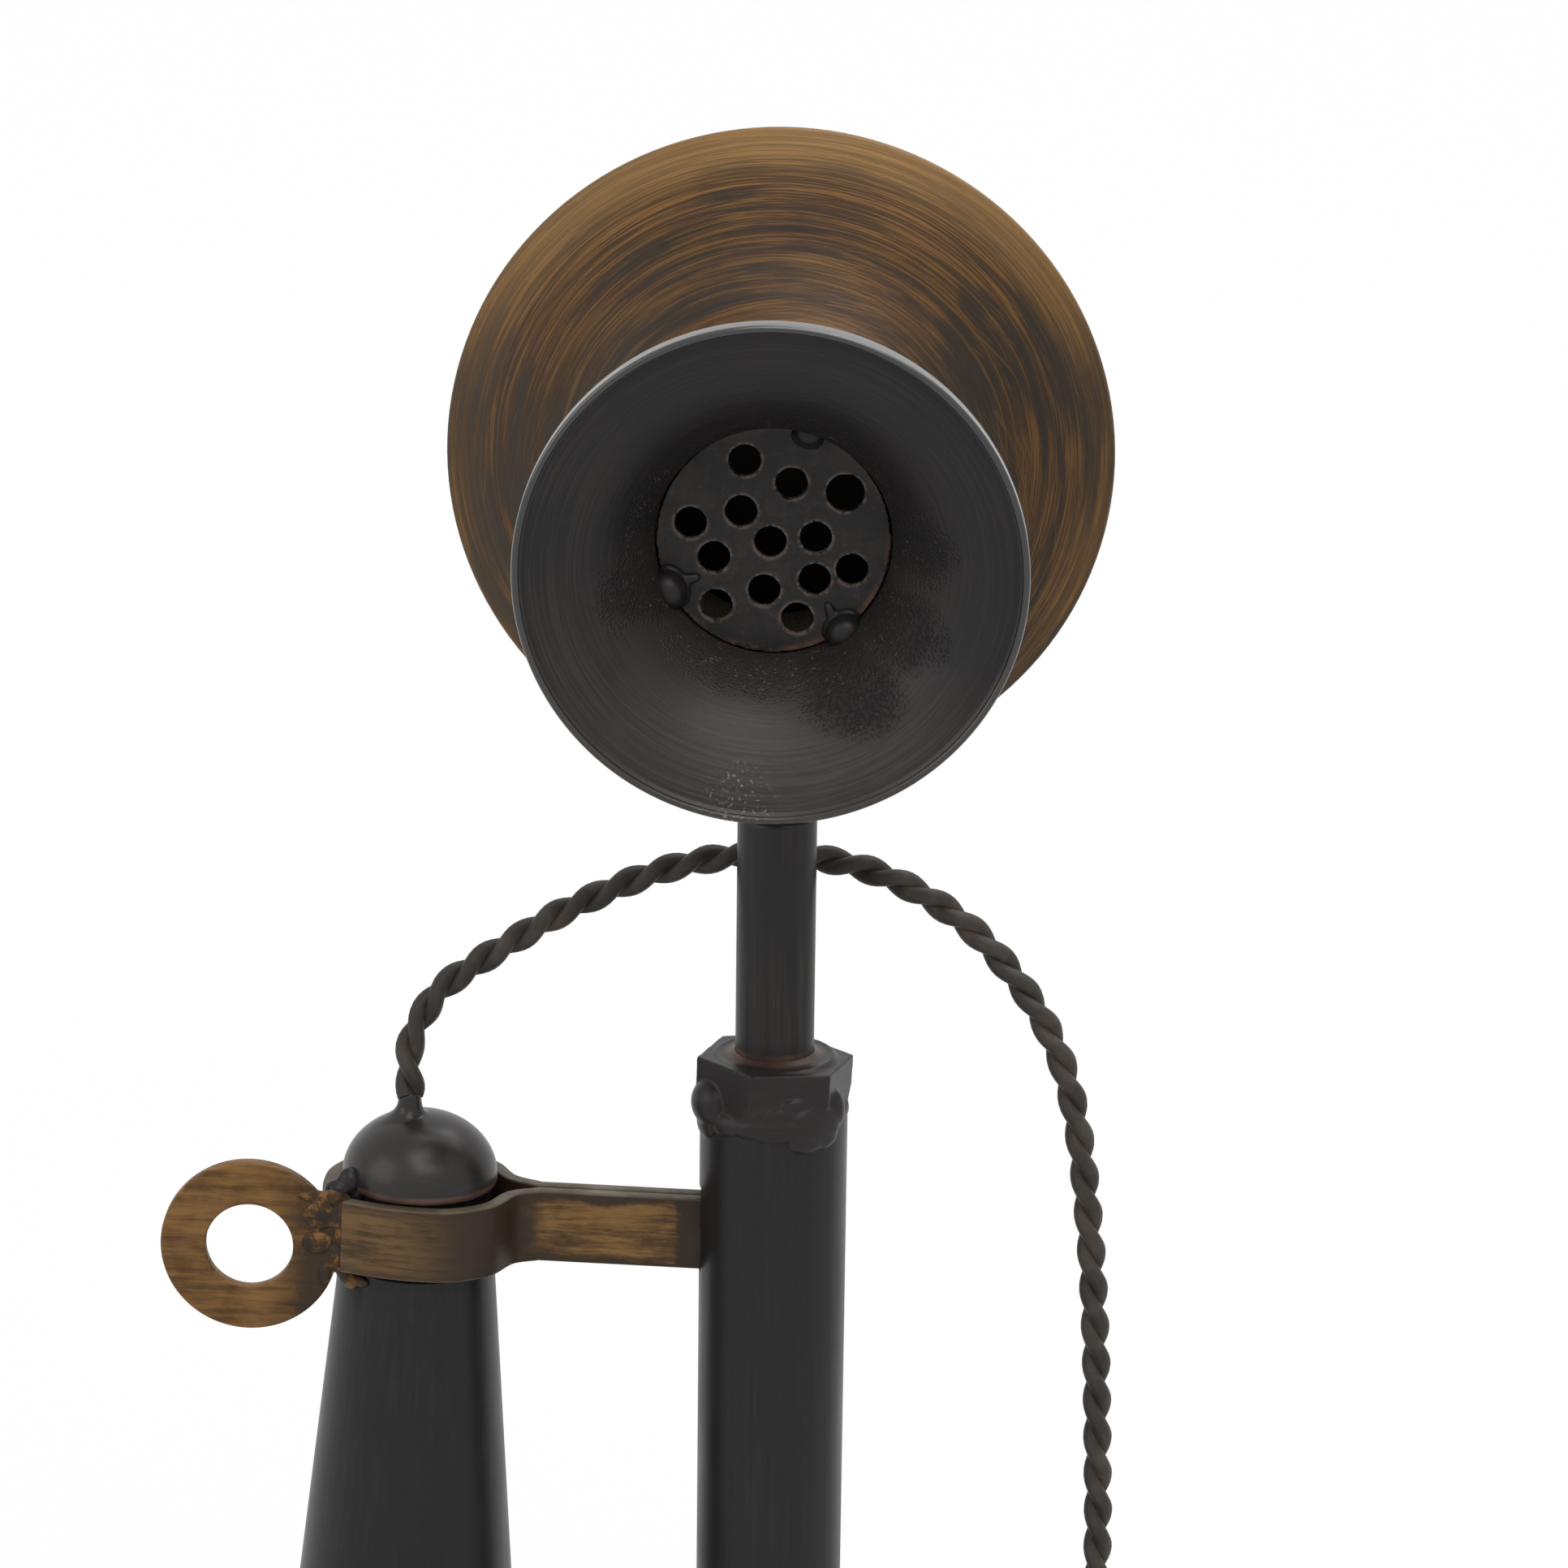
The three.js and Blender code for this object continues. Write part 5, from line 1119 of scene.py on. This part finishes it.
class TELEPHONE_OT_post(bpy.types.Operator):
    """Makes the post and its tongue, and the nut with its weld lumps"""

    bl_idname = "telephone.post"
    bl_label = "Post and nut"

    def execute(self, context):
        yaw = turned(HEAD_YAW, "Z")
        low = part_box("post")[0][2] / MM
        neck = TILT_HEIGHT - TONGUE_RADIUS - TONGUE_NECK
        shoulder = (POST_RADIUS + COLUMN_RADIUS - COLUMN_WALL) / 2
        post = spun("post_bar", [
            (0, low), (POST_RADIUS, low), (POST_RADIUS, COLUMN_TOP - SHOULDER_DEPTH),
            (shoulder, COLUMN_TOP - SHOULDER_DEPTH), (shoulder, COLUMN_TOP), (POST_RADIUS, COLUMN_TOP),
            (POST_RADIUS, neck - 1), *arc(POST_RADIUS - 1, neck - 1, 1, 30, 90, 3), (0, neck),
        ])
        half = TONGUE_THICKNESS / 2
        tongue = box("tongue", (-half, -TONGUE_RADIUS, neck - 1), (half, TONGUE_RADIUS, TILT_HEIGHT))
        eye = bar("eye", TONGUE_RADIUS, (-half, 0, TILT_HEIGHT), (half, 0, TILT_HEIGHT), 64)
        cut(post, tongue, eye, operation="UNION")
        cut(post, bar("hole", BOLT_HOLE, (-9, 0, TILT_HEIGHT), (9, 0, TILT_HEIGHT), 24))
        blacken(post, "post", "post", yaw, rust_at=NUT_RUST, gloss=0.36, upright=True, brown=0.5, pale=0.04)
        self.make_nut()
        return {"FINISHED"}

    def make_nut(self):
        bottom = COLUMN_TOP + GAP
        top = bottom + NUT_HEIGHT
        corner = NUT_FLATS / cos(radians(30))
        bpy.ops.mesh.primitive_cylinder_add(
            vertices=6, radius=corner * MM, depth=(NUT_HEIGHT - NUT_STEP) * MM,
            rotation=(0, 0, radians(30 + NUT_TURN)),
        )
        nut = bpy.context.object
        nut.name = "nut"
        middle = (bottom + top - NUT_STEP) / 2
        settle(nut, moved(0, 0, middle) @ turned(NUT_ROLL, "Y") @ turned(NUT_PITCH, "X"))
        hug = POST_RADIUS + 0.1
        step = NUT_FLATS - 1
        crown = spun("crown", [
            (0, top - 3), (step + 0.2, top - 3), (step - 0.2, top - NUT_STEP), (step - 0.8, top + 0.1),
            (9.2, top - 0.1), (8, top + 0.1), (7.4, top + 0.5), (hug, top + 0.8), (0, top + 0.8)])
        seam = spun("seam", [
            (0, bottom - 0.9), (COLUMN_RADIUS, bottom - 1.2), (COLUMN_RADIUS + 0.25, bottom - 0.4),
            (COLUMN_RADIUS + 0.1, bottom + 0.6), (0, bottom + 0.6)])
        drops = weld("nut_welds", [
            ((NUT_FLATS * sin(radians(angle)), -NUT_FLATS * cos(radians(angle)), bottom + height),
             radii, angle)
            for angle, height, *radii in NUT_LUMPS])
        limit = spun("turned", [
            (0, bottom - 1), (COLUMN_RADIUS + 0.1, bottom - 1), (COLUMN_RADIUS + 0.1, bottom + 0.6),
            (corner + 0.5, bottom + 5), (corner + 0.5, top + 2), (0, top + 2)])
        cut(nut, limit, operation="INTERSECT")
        run_together(nut, [crown, seam, drops], FINE_GRAIN, 4)
        cut(nut, bar("bore", hug, (0, 0, bottom - 3), (0, 0, top + 3), ROUND))
        cut(nut, bar("inside", COLUMN_RADIUS + GAP / 2, (0, 0, bottom - 6), (0, 0, bottom - GAP / 2), ROUND))
        rust = (top - 0.4, top + 1.6, 0.7, 9.2)
        blacken(nut, "stand", "collar_nut", None, 60, rust_at=rust, gloss=0.36, brown=0.1, pale=0.12)


class TELEPHONE_OT_column(bpy.types.Operator):
    """Makes the column with the hook's slot, and the ring at its foot"""

    bl_idname = "telephone.column"
    bl_label = "Column"

    def execute(self, context):
        inside = COLUMN_RADIUS - COLUMN_WALL
        column = spun("column", [
            (inside, COLUMN_BOTTOM), (COLUMN_RADIUS, COLUMN_BOTTOM), (COLUMN_RADIUS, COLUMN_TOP - 0.5),
            (COLUMN_RADIUS - 0.5, COLUMN_TOP), (inside, COLUMN_TOP)])
        half = STRIP_THICKNESS + 1.5 * GAP
        cut(column, box("slot", (-COLUMN_RADIUS - 2, -half, SLOT_BOTTOM), (-inside / 2, half, SLOT_TOP)))
        blacken(column, "stand", "column_tube", gloss=0.34, upright=True)
        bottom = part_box("column_ring")[0][2] / MM
        edge = COLLAR_HEIGHT / 2
        ring = spun("foot_ring", [
            (COLUMN_BORE, bottom), (COLLAR_RADIUS - 1, bottom),
            *arc(COLLAR_RADIUS - edge, bottom + edge, edge, -60, 90, 14),
            (COLUMN_BORE, bottom + COLLAR_HEIGHT)])
        blacken(ring, "stand", "column_ring")
        return {"FINISHED"}


# ---- The switch hook ----


def smooth_bend(points, steps):
    """Points along a smooth line through the points of a strip's bend, in millimetres."""
    ends = [Vector((-RECEIVER_OUT + out * LOOP_HALF, across * LOOP_HALF, 0)) for out, across in points]
    return smooth_route(ends, sum((b - a).length for a, b in zip(ends, ends[1:])) / steps)[0]


def make_strip(name, side, bend):
    """A flat strip along its bend, with rounded edges."""
    root = Vector((STRIP_ROOT, side * STRIP_MIDDLE, 0))
    line = [root, *smooth_bend(bend, 44)]
    low = Vector((0, 0, -STRIP_HEIGHT / 2))
    piece = drawn_line(name, [(point + low) * MM for point in line])
    bpy.ops.mesh.extrude_edges_move(TRANSFORM_OT_translate={"value": (0, 0, STRIP_HEIGHT * MM)})
    tidy_surface()
    modify(piece, "SOLIDIFY", thickness=STRIP_THICKNESS * MM, offset=0)
    soften(piece, bpy.context.scene.telephone_sizes.edge, 60)
    return piece


class TELEPHONE_OT_hook(bpy.types.Operator):
    """Makes the hook's two strips, the ring at their end and the weld between them"""

    bl_idname = "telephone.hook"
    bl_label = "Switch hook"

    def execute(self, context):
        place = hook_place()
        wash = strip_wash("strip_wash")
        for name, side, bend, node in (
            ("front_strip", -1, FRONT_BEND, "hook_front_strip"),
            ("back_strip", 1, BACK_BEND, "hook_back_strip"),
        ):
            strip = make_strip(name, side, bend)
            for radius, x in ((BOLT_HOLE, 0), (RIVET_HOLE, RIVET_PLACE)):
                cut(strip, bar("hole", radius, (x, -8, 0), (x, 8, 0), 24))
            complete(strip, "hook", wash, node, place)
        low, high = [Vector(corner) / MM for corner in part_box("hook_ring")]
        middle = place.inverted() @ ((low + high) / 2 * MM) / MM
        half = STRIP_THICKNESS / 2
        ring = spun("hook_washer", [
            (RING_HOLE, -half), (RING_RADIUS, -half), (RING_RADIUS, half), (RING_HOLE, half)])
        soften(ring, 0.45 * MM, 32)
        seat = place @ moved(*middle) @ turned(90, "X")
        complete(ring, "hook", washer_wash("washer_wash", seat), "hook_ring", seat)
        side = middle + Vector((RING_RADIUS, 0, -middle.z))

        def lumps(name, drops):
            return weld(name, [(side + Vector(drop[:3]), drop[3:], 0) for drop in drops])

        welds = lumps("hook_welds", STRIP_DROPS)
        paint = black_paint("hook_weld_paint", Matrix(), gloss=0.3)
        complete(welds, "hook", paint, matrix=place, smooth=70)
        seam = lumps("ring_weld", RING_DROPS)
        complete(seam, "hook", weld_wash("ring_weld_wash"), matrix=place, smooth=70)
        return {"FINISHED"}


# ---- The receiver ----


def dome_profile():
    spigot = NECK_RADIUS - SHELL_WALL - GAP
    bore = spigot - DOME_WALL
    centre = DOME_BOTTOM + DOME_BAND
    hollow = DOME_RADIUS - DOME_WALL

    def curve(radius, start, end, steps):
        return [(across, centre + up * DOME_RISE / DOME_RADIUS) for across, up in
                arc(0, 0, radius, start, end, steps)]

    turn = degrees(acos(bore / hollow))
    return [
        (0, centre + DOME_RISE), *curve(DOME_RADIUS, 86, 0, 22), (DOME_RADIUS, DOME_BOTTOM + 0.2),
        (DOME_RADIUS - 0.2, DOME_BOTTOM), (spigot, DOME_BOTTOM), (spigot, DOME_BOTTOM - SPIGOT_LENGTH),
        (bore, DOME_BOTTOM - SPIGOT_LENGTH), *curve(hollow, turn, 86, 8),
        (0, centre + DOME_RISE * hollow / DOME_RADIUS),
    ]


def shell_profile():
    spread = FLANGE_RADIUS - CONE_BOTTOM_RADIUS

    def cone(t):
        return CONE_TOP_RADIUS + CONE_TAPER * CONE_LENGTH * t, CONE_TOP - CONE_LENGTH * t - 0.25

    def flare(t):
        return CONE_BOTTOM_RADIUS + spread * t ** 2.4, CONE_BOTTOM - FLARE_HEIGHT * t

    mouth = CONE_BOTTOM - FLARE_HEIGHT - FLANGE_HEIGHT
    seat = mouth + SEAT_HEIGHT
    inside = CONE_BOTTOM_RADIUS - SHELL_WALL
    neck = NECK_RADIUS - SHELL_WALL
    return [
        (NECK_RADIUS, -CONE_TOP - GAP), (NECK_RADIUS, CONE_TOP + GAP),
        (CONE_TOP_RADIUS - 0.3, CONE_TOP + 0.05),
        *[cone(step / 6) for step in range(6)], *[flare(step / 14) for step in range(15)],
        (FLANGE_RADIUS, mouth), (MOUTH_RADIUS, mouth), (MOUTH_RADIUS, seat), (inside, seat),
        (inside, CONE_BOTTOM), (neck, CONE_TOP), (neck, -CONE_TOP - GAP),
    ]


def cap_profile():
    flange_top = CONE_BOTTOM - FLARE_HEIGHT
    floor = flange_top - FLANGE_HEIGHT - 2 * GAP - 0.5
    inside = FLANGE_RADIUS + GAP
    outside = inside + CAP_WALL
    ear = floor - CAP_DEPTH
    edge = 3
    lip = outside - edge - 1

    def bowl(t):
        return EAR_HOLE_RADIUS + (lip - EAR_HOLE_RADIUS) * t, floor - CAP_DEPTH * (0.42 + 0.58 * t ** 2)

    return [
        (inside, flange_top - GAP), (outside - 0.5, flange_top - GAP), (outside, flange_top - GAP - 0.5),
        *arc(outside - edge, ear + edge, edge, 0, -90, 12), *[bowl(1 - step / 14) for step in range(15)],
        (EAR_HOLE_RADIUS, floor), (inside, floor),
    ]


class TELEPHONE_OT_receiver(bpy.types.Operator):
    """Makes the receiver's dome, its conical shell and its ear cap"""

    bl_idname = "telephone.receiver"
    bl_label = "Receiver"

    def execute(self, context):
        place = receiver_place()
        pole = DOME_BOTTOM + DOME_BAND + DOME_RISE
        dome = spun("dome", dome_profile())
        boss = spun("boss", [(radius, pole + height) for radius, height in CORD_BOSS], 48)
        boss.location.x = -CORD_BOSS_OUT * MM
        run_together(dome, [boss], DOME_GRAIN, 4)
        rust = (DOME_BOTTOM - 0.8, DOME_BOTTOM + 1.6, 0.8, 20)
        blacken(dome, "receiver", "receiver_dome", place, rust_at=rust, gloss=0.28, brown=0.2, pale=0.2,
                shine=0.3)
        shell = spun("shell", shell_profile())
        blacken(shell, "receiver", "receiver_shell", place, gloss=0.34, upright=True, brown=0.1)
        drip = weld("receiver_drip", [
            ((x, y, CONE_TOP + height), radii, turn) for x, y, height, turn, *radii in DRIPS])
        complete(drip, "receiver", weld_wash("drip_wash"), matrix=place, smooth=70)
        cap = spun("ear_cap", cap_profile(), WIDE)
        blacken(cap, "receiver", "receiver_cap", place)
        return {"FINISHED"}


# ---- The base ----


def base_bell_profile():
    bottom = FOOT_HEIGHT + GAP
    start = bottom + BELL_RIM_HEIGHT
    span = BELL_RIM_RADIUS - BELL_NECK

    def curve(t):
        return BELL_RIM_RADIUS - span * t, start + BELL_RISE * t ** BELL_FLARE

    inner = [(radius - BELL_WALL, height - BELL_WALL) for radius, height in
             [curve(1 - 0.75 * step / 20) for step in range(21)]]
    return [
        (BELL_RIM_RADIUS, bottom + 0.6), *arc(BELL_RIM_RADIUS - 1.2, start - 1.2, 1.2, 0, 80, 6),
        *[curve(step / 26) for step in range(1, 27)], (COLUMN_BORE, start + BELL_RISE),
        (COLUMN_BORE, start + BELL_RISE - BELL_WALL), *inner, (FOOT_OPENING, bottom),
        (BELL_RIM_RADIUS - 0.6, bottom),
    ]


class TELEPHONE_OT_base(bpy.types.Operator):
    """Makes the round foot, the bell on it and the cord's ferrule"""

    bl_idname = "telephone.base"
    bl_label = "Base"

    def execute(self, context):
        centre = (BASE_RADIUS - FOOT_EDGE, FOOT_HEIGHT - FOOT_EDGE)
        foot = spun("foot", [
            (BASE_RADIUS - 0.5, PLATE_BOTTOM), (BASE_RADIUS, PLATE_BOTTOM + 0.5),
            *arc(*centre, FOOT_EDGE, 0, 90, 14), (FOOT_OPENING, FOOT_HEIGHT),
            (FOOT_OPENING, FOOT_HEIGHT - FOOT_WALL), *arc(*centre, FOOT_EDGE - FOOT_WALL, 90, 0, 8),
            (BASE_RADIUS - FOOT_WALL, PLATE_BOTTOM)], WIDE)
        height = sum(corner[2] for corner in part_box("line_grommet")) / 2 / MM
        cut(foot, bar("hole", GROMMET_HOLE, (0, BASE_RADIUS - 5, height), (0, BASE_RADIUS + 1, height), 32))
        blacken(foot, "stand", "base_foot")
        bell = spun("foot_bell", base_bell_profile(), WIDE)
        wash = bell_wash("foot_wash", Matrix(), BELL_RIM_RADIUS)
        complete(bell, "stand", wash, "base_bell")
        low = FOOT_HEIGHT + GAP
        top = low + FERRULE_HEIGHT
        ferrule = spun("ferrule", [
            (FERRULE_BORE, low), (FERRULE_FLANGE, low), (FERRULE_FLANGE, low + 1.1),
            (FERRULE_FLANGE - 0.4, low + 1.5), (FERRULE_RADIUS, low + 1.7), (FERRULE_RADIUS, top - 2),
            *arc(FERRULE_RADIUS - 1, top - 1, 1, 0, 90, 6), (FERRULE_BORE, top)], 64)
        ferrule.location = (CORD_FOOT[0] * MM, CORD_FOOT[1] * MM, 0)
        settle(ferrule)
        blacken(ferrule, "stand", "cord_ferrule")
        return {"FINISHED"}


class TELEPHONE_OT_frame_finishes(bpy.types.Operator):
    """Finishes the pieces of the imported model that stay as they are"""

    bl_idname = "telephone.frame_finishes"
    bl_label = "Frame finishes"

    def execute(self, context):
        colours = context.scene.telephone_colours
        finishes = {
            "black_paint": black_paint(),
            "brass_wash": plain_metal("frame_wash", colours.wash, 0.45),
            "steel": plain_metal("steel", colours.steel, 0.32),
            "brass": plain_metal("brass", colours.brass, 0.32),
            "copper_wire": plain_metal("copper_wire", colours.copper, 0.4),
            "fibre": plain_stuff("fibre", colours.fibre, 0.7, 900.0, 0.05),
            "rubber": plain_stuff("rubber", colours.rubber, 0.75, 1400.0, 0.04),
            "felt": plain_stuff("felt", colours.felt, 0.95, 2200.0, 0.3),
            "dark_wire": plain_metal("wire", colours.strand, 0.5, 0.3),
        }
        # The diaphragm is painted nearly black, as painted shade behind the grille.
        finishes["transmitter_diaphragm"] = plain_metal("painted_shade_diaphragm", colours.painted_shade_diaphragm, 0.5, 0.3)
        slots = {part["node"]: part["material_slot"] for part in frame["record"]["subparts"]}
        for node, piece in frame["nodes"].items():
            for holder in piece.material_slots:
                holder.link = "OBJECT"
                holder.material = finishes.get(node, finishes[slots[node]])
        return {"FINISHED"}


# ---- The stage ----


class TELEPHONE_OT_stage(bpy.types.Operator):
    """Lays the pale floor and sets the soft studio light"""

    bl_idname = "telephone.stage"
    bl_label = "Stage"

    def execute(self, context):
        self.lay_floor(context)
        self.light_world(context)
        for lamp in LAMPS:
            self.add_lamp(*lamp)
        context.scene.view_settings.view_transform = "Standard"
        return {"FINISHED"}

    def lay_floor(self, context):
        bpy.ops.mesh.primitive_plane_add(size=context.scene.telephone_sizes.floor, location=(0, 0, 0))
        floor = context.object
        floor.name = "floor"
        shader, colours, _, x, y, _ = start("floor")
        floor.data.materials.append(shader.finish(USUAL_SHINE, base_color=colours.floor, roughness=0.9))
        far = band(length(x, y), 0.2, 0.8)
        white = shader.node("ShaderNodeEmission", {}, {"Color": (1, 1, 1), "Strength": 1.0})
        surface = Value(shader, shader.nodes["Principled BSDF"].outputs[0])
        share = self.seen(shader) * (0.85 + far * 0.14)
        mixed = shader.node("ShaderNodeMixShader", {}, {0: share, 1: surface, 2: white})
        shader.fill(shader.nodes["Material Output"].inputs["Surface"], mixed)

    def seen(self, shader):
        """1 on rays from the camera and on those that metal or glass turns."""
        rays = [shader.node("ShaderNodeLightPath", {}, {}, name) for name in
                ("Is Camera Ray", "Is Glossy Ray", "Is Transmission Ray")]
        return largest(*rays)

    def light_world(self, context):
        context.scene.world = bpy.data.worlds.new("studio")
        shader = Shader(context.scene.world)
        background = shader.nodes["Background"].inputs
        shader.fill(background["Color"], (1, 1, 1))
        shader.fill(background["Strength"], self.seen(shader) * (1 - STUDIO_LIGHT) + STUDIO_LIGHT)

    def add_lamp(self, name, place, size, power):
        aim = (Vector(place) - TARGET).to_track_quat("Z", "Y").to_euler()
        bpy.ops.object.light_add(type="AREA", location=place, rotation=aim)
        lamp = bpy.context.object
        lamp.name = name
        lamp.data.size = size
        lamp.data.energy = power


# ---- Panel and registration ----

STEPS = [
    TELEPHONE_OT_camera,
    TELEPHONE_OT_cord,
    TELEPHONE_OT_frame_finishes,
    TELEPHONE_OT_bell,
    TELEPHONE_OT_mouthpiece,
    TELEPHONE_OT_post,
    TELEPHONE_OT_column,
    TELEPHONE_OT_hook,
    TELEPHONE_OT_receiver,
    TELEPHONE_OT_base,
    TELEPHONE_OT_stage,
]


class TELEPHONE_PT_panel(bpy.types.Panel):
    """Lists the telephone's steps, sizes and colours"""

    bl_label = "Telephone"
    bl_space_type = "VIEW_3D"
    bl_region_type = "UI"
    bl_category = "Telephone"

    def draw(self, context):
        for group in (context.scene.telephone_sizes, context.scene.telephone_colours):
            for name in group.bl_rna.properties.keys():
                if name not in ("name", "rna_type"):
                    self.layout.prop(group, name)
        for step in STEPS:
            self.layout.operator(step.bl_idname)


CLASSES = [TelephoneSizes, TelephoneColours, *STEPS, TELEPHONE_PT_panel]


def register():
    for made in CLASSES:
        bpy.utils.register_class(made)
    bpy.types.Scene.telephone_sizes = PointerProperty(type=TelephoneSizes)
    bpy.types.Scene.telephone_colours = PointerProperty(type=TelephoneColours)


def unregister():
    del bpy.types.Scene.telephone_colours
    del bpy.types.Scene.telephone_sizes
    for made in reversed(CLASSES):
        bpy.utils.unregister_class(made)


def main():
    register()
    for step in STEPS:
        group, name = step.bl_idname.split(".")
        getattr(getattr(bpy.ops, group), name)()


if __name__ == "__main__":
    main()
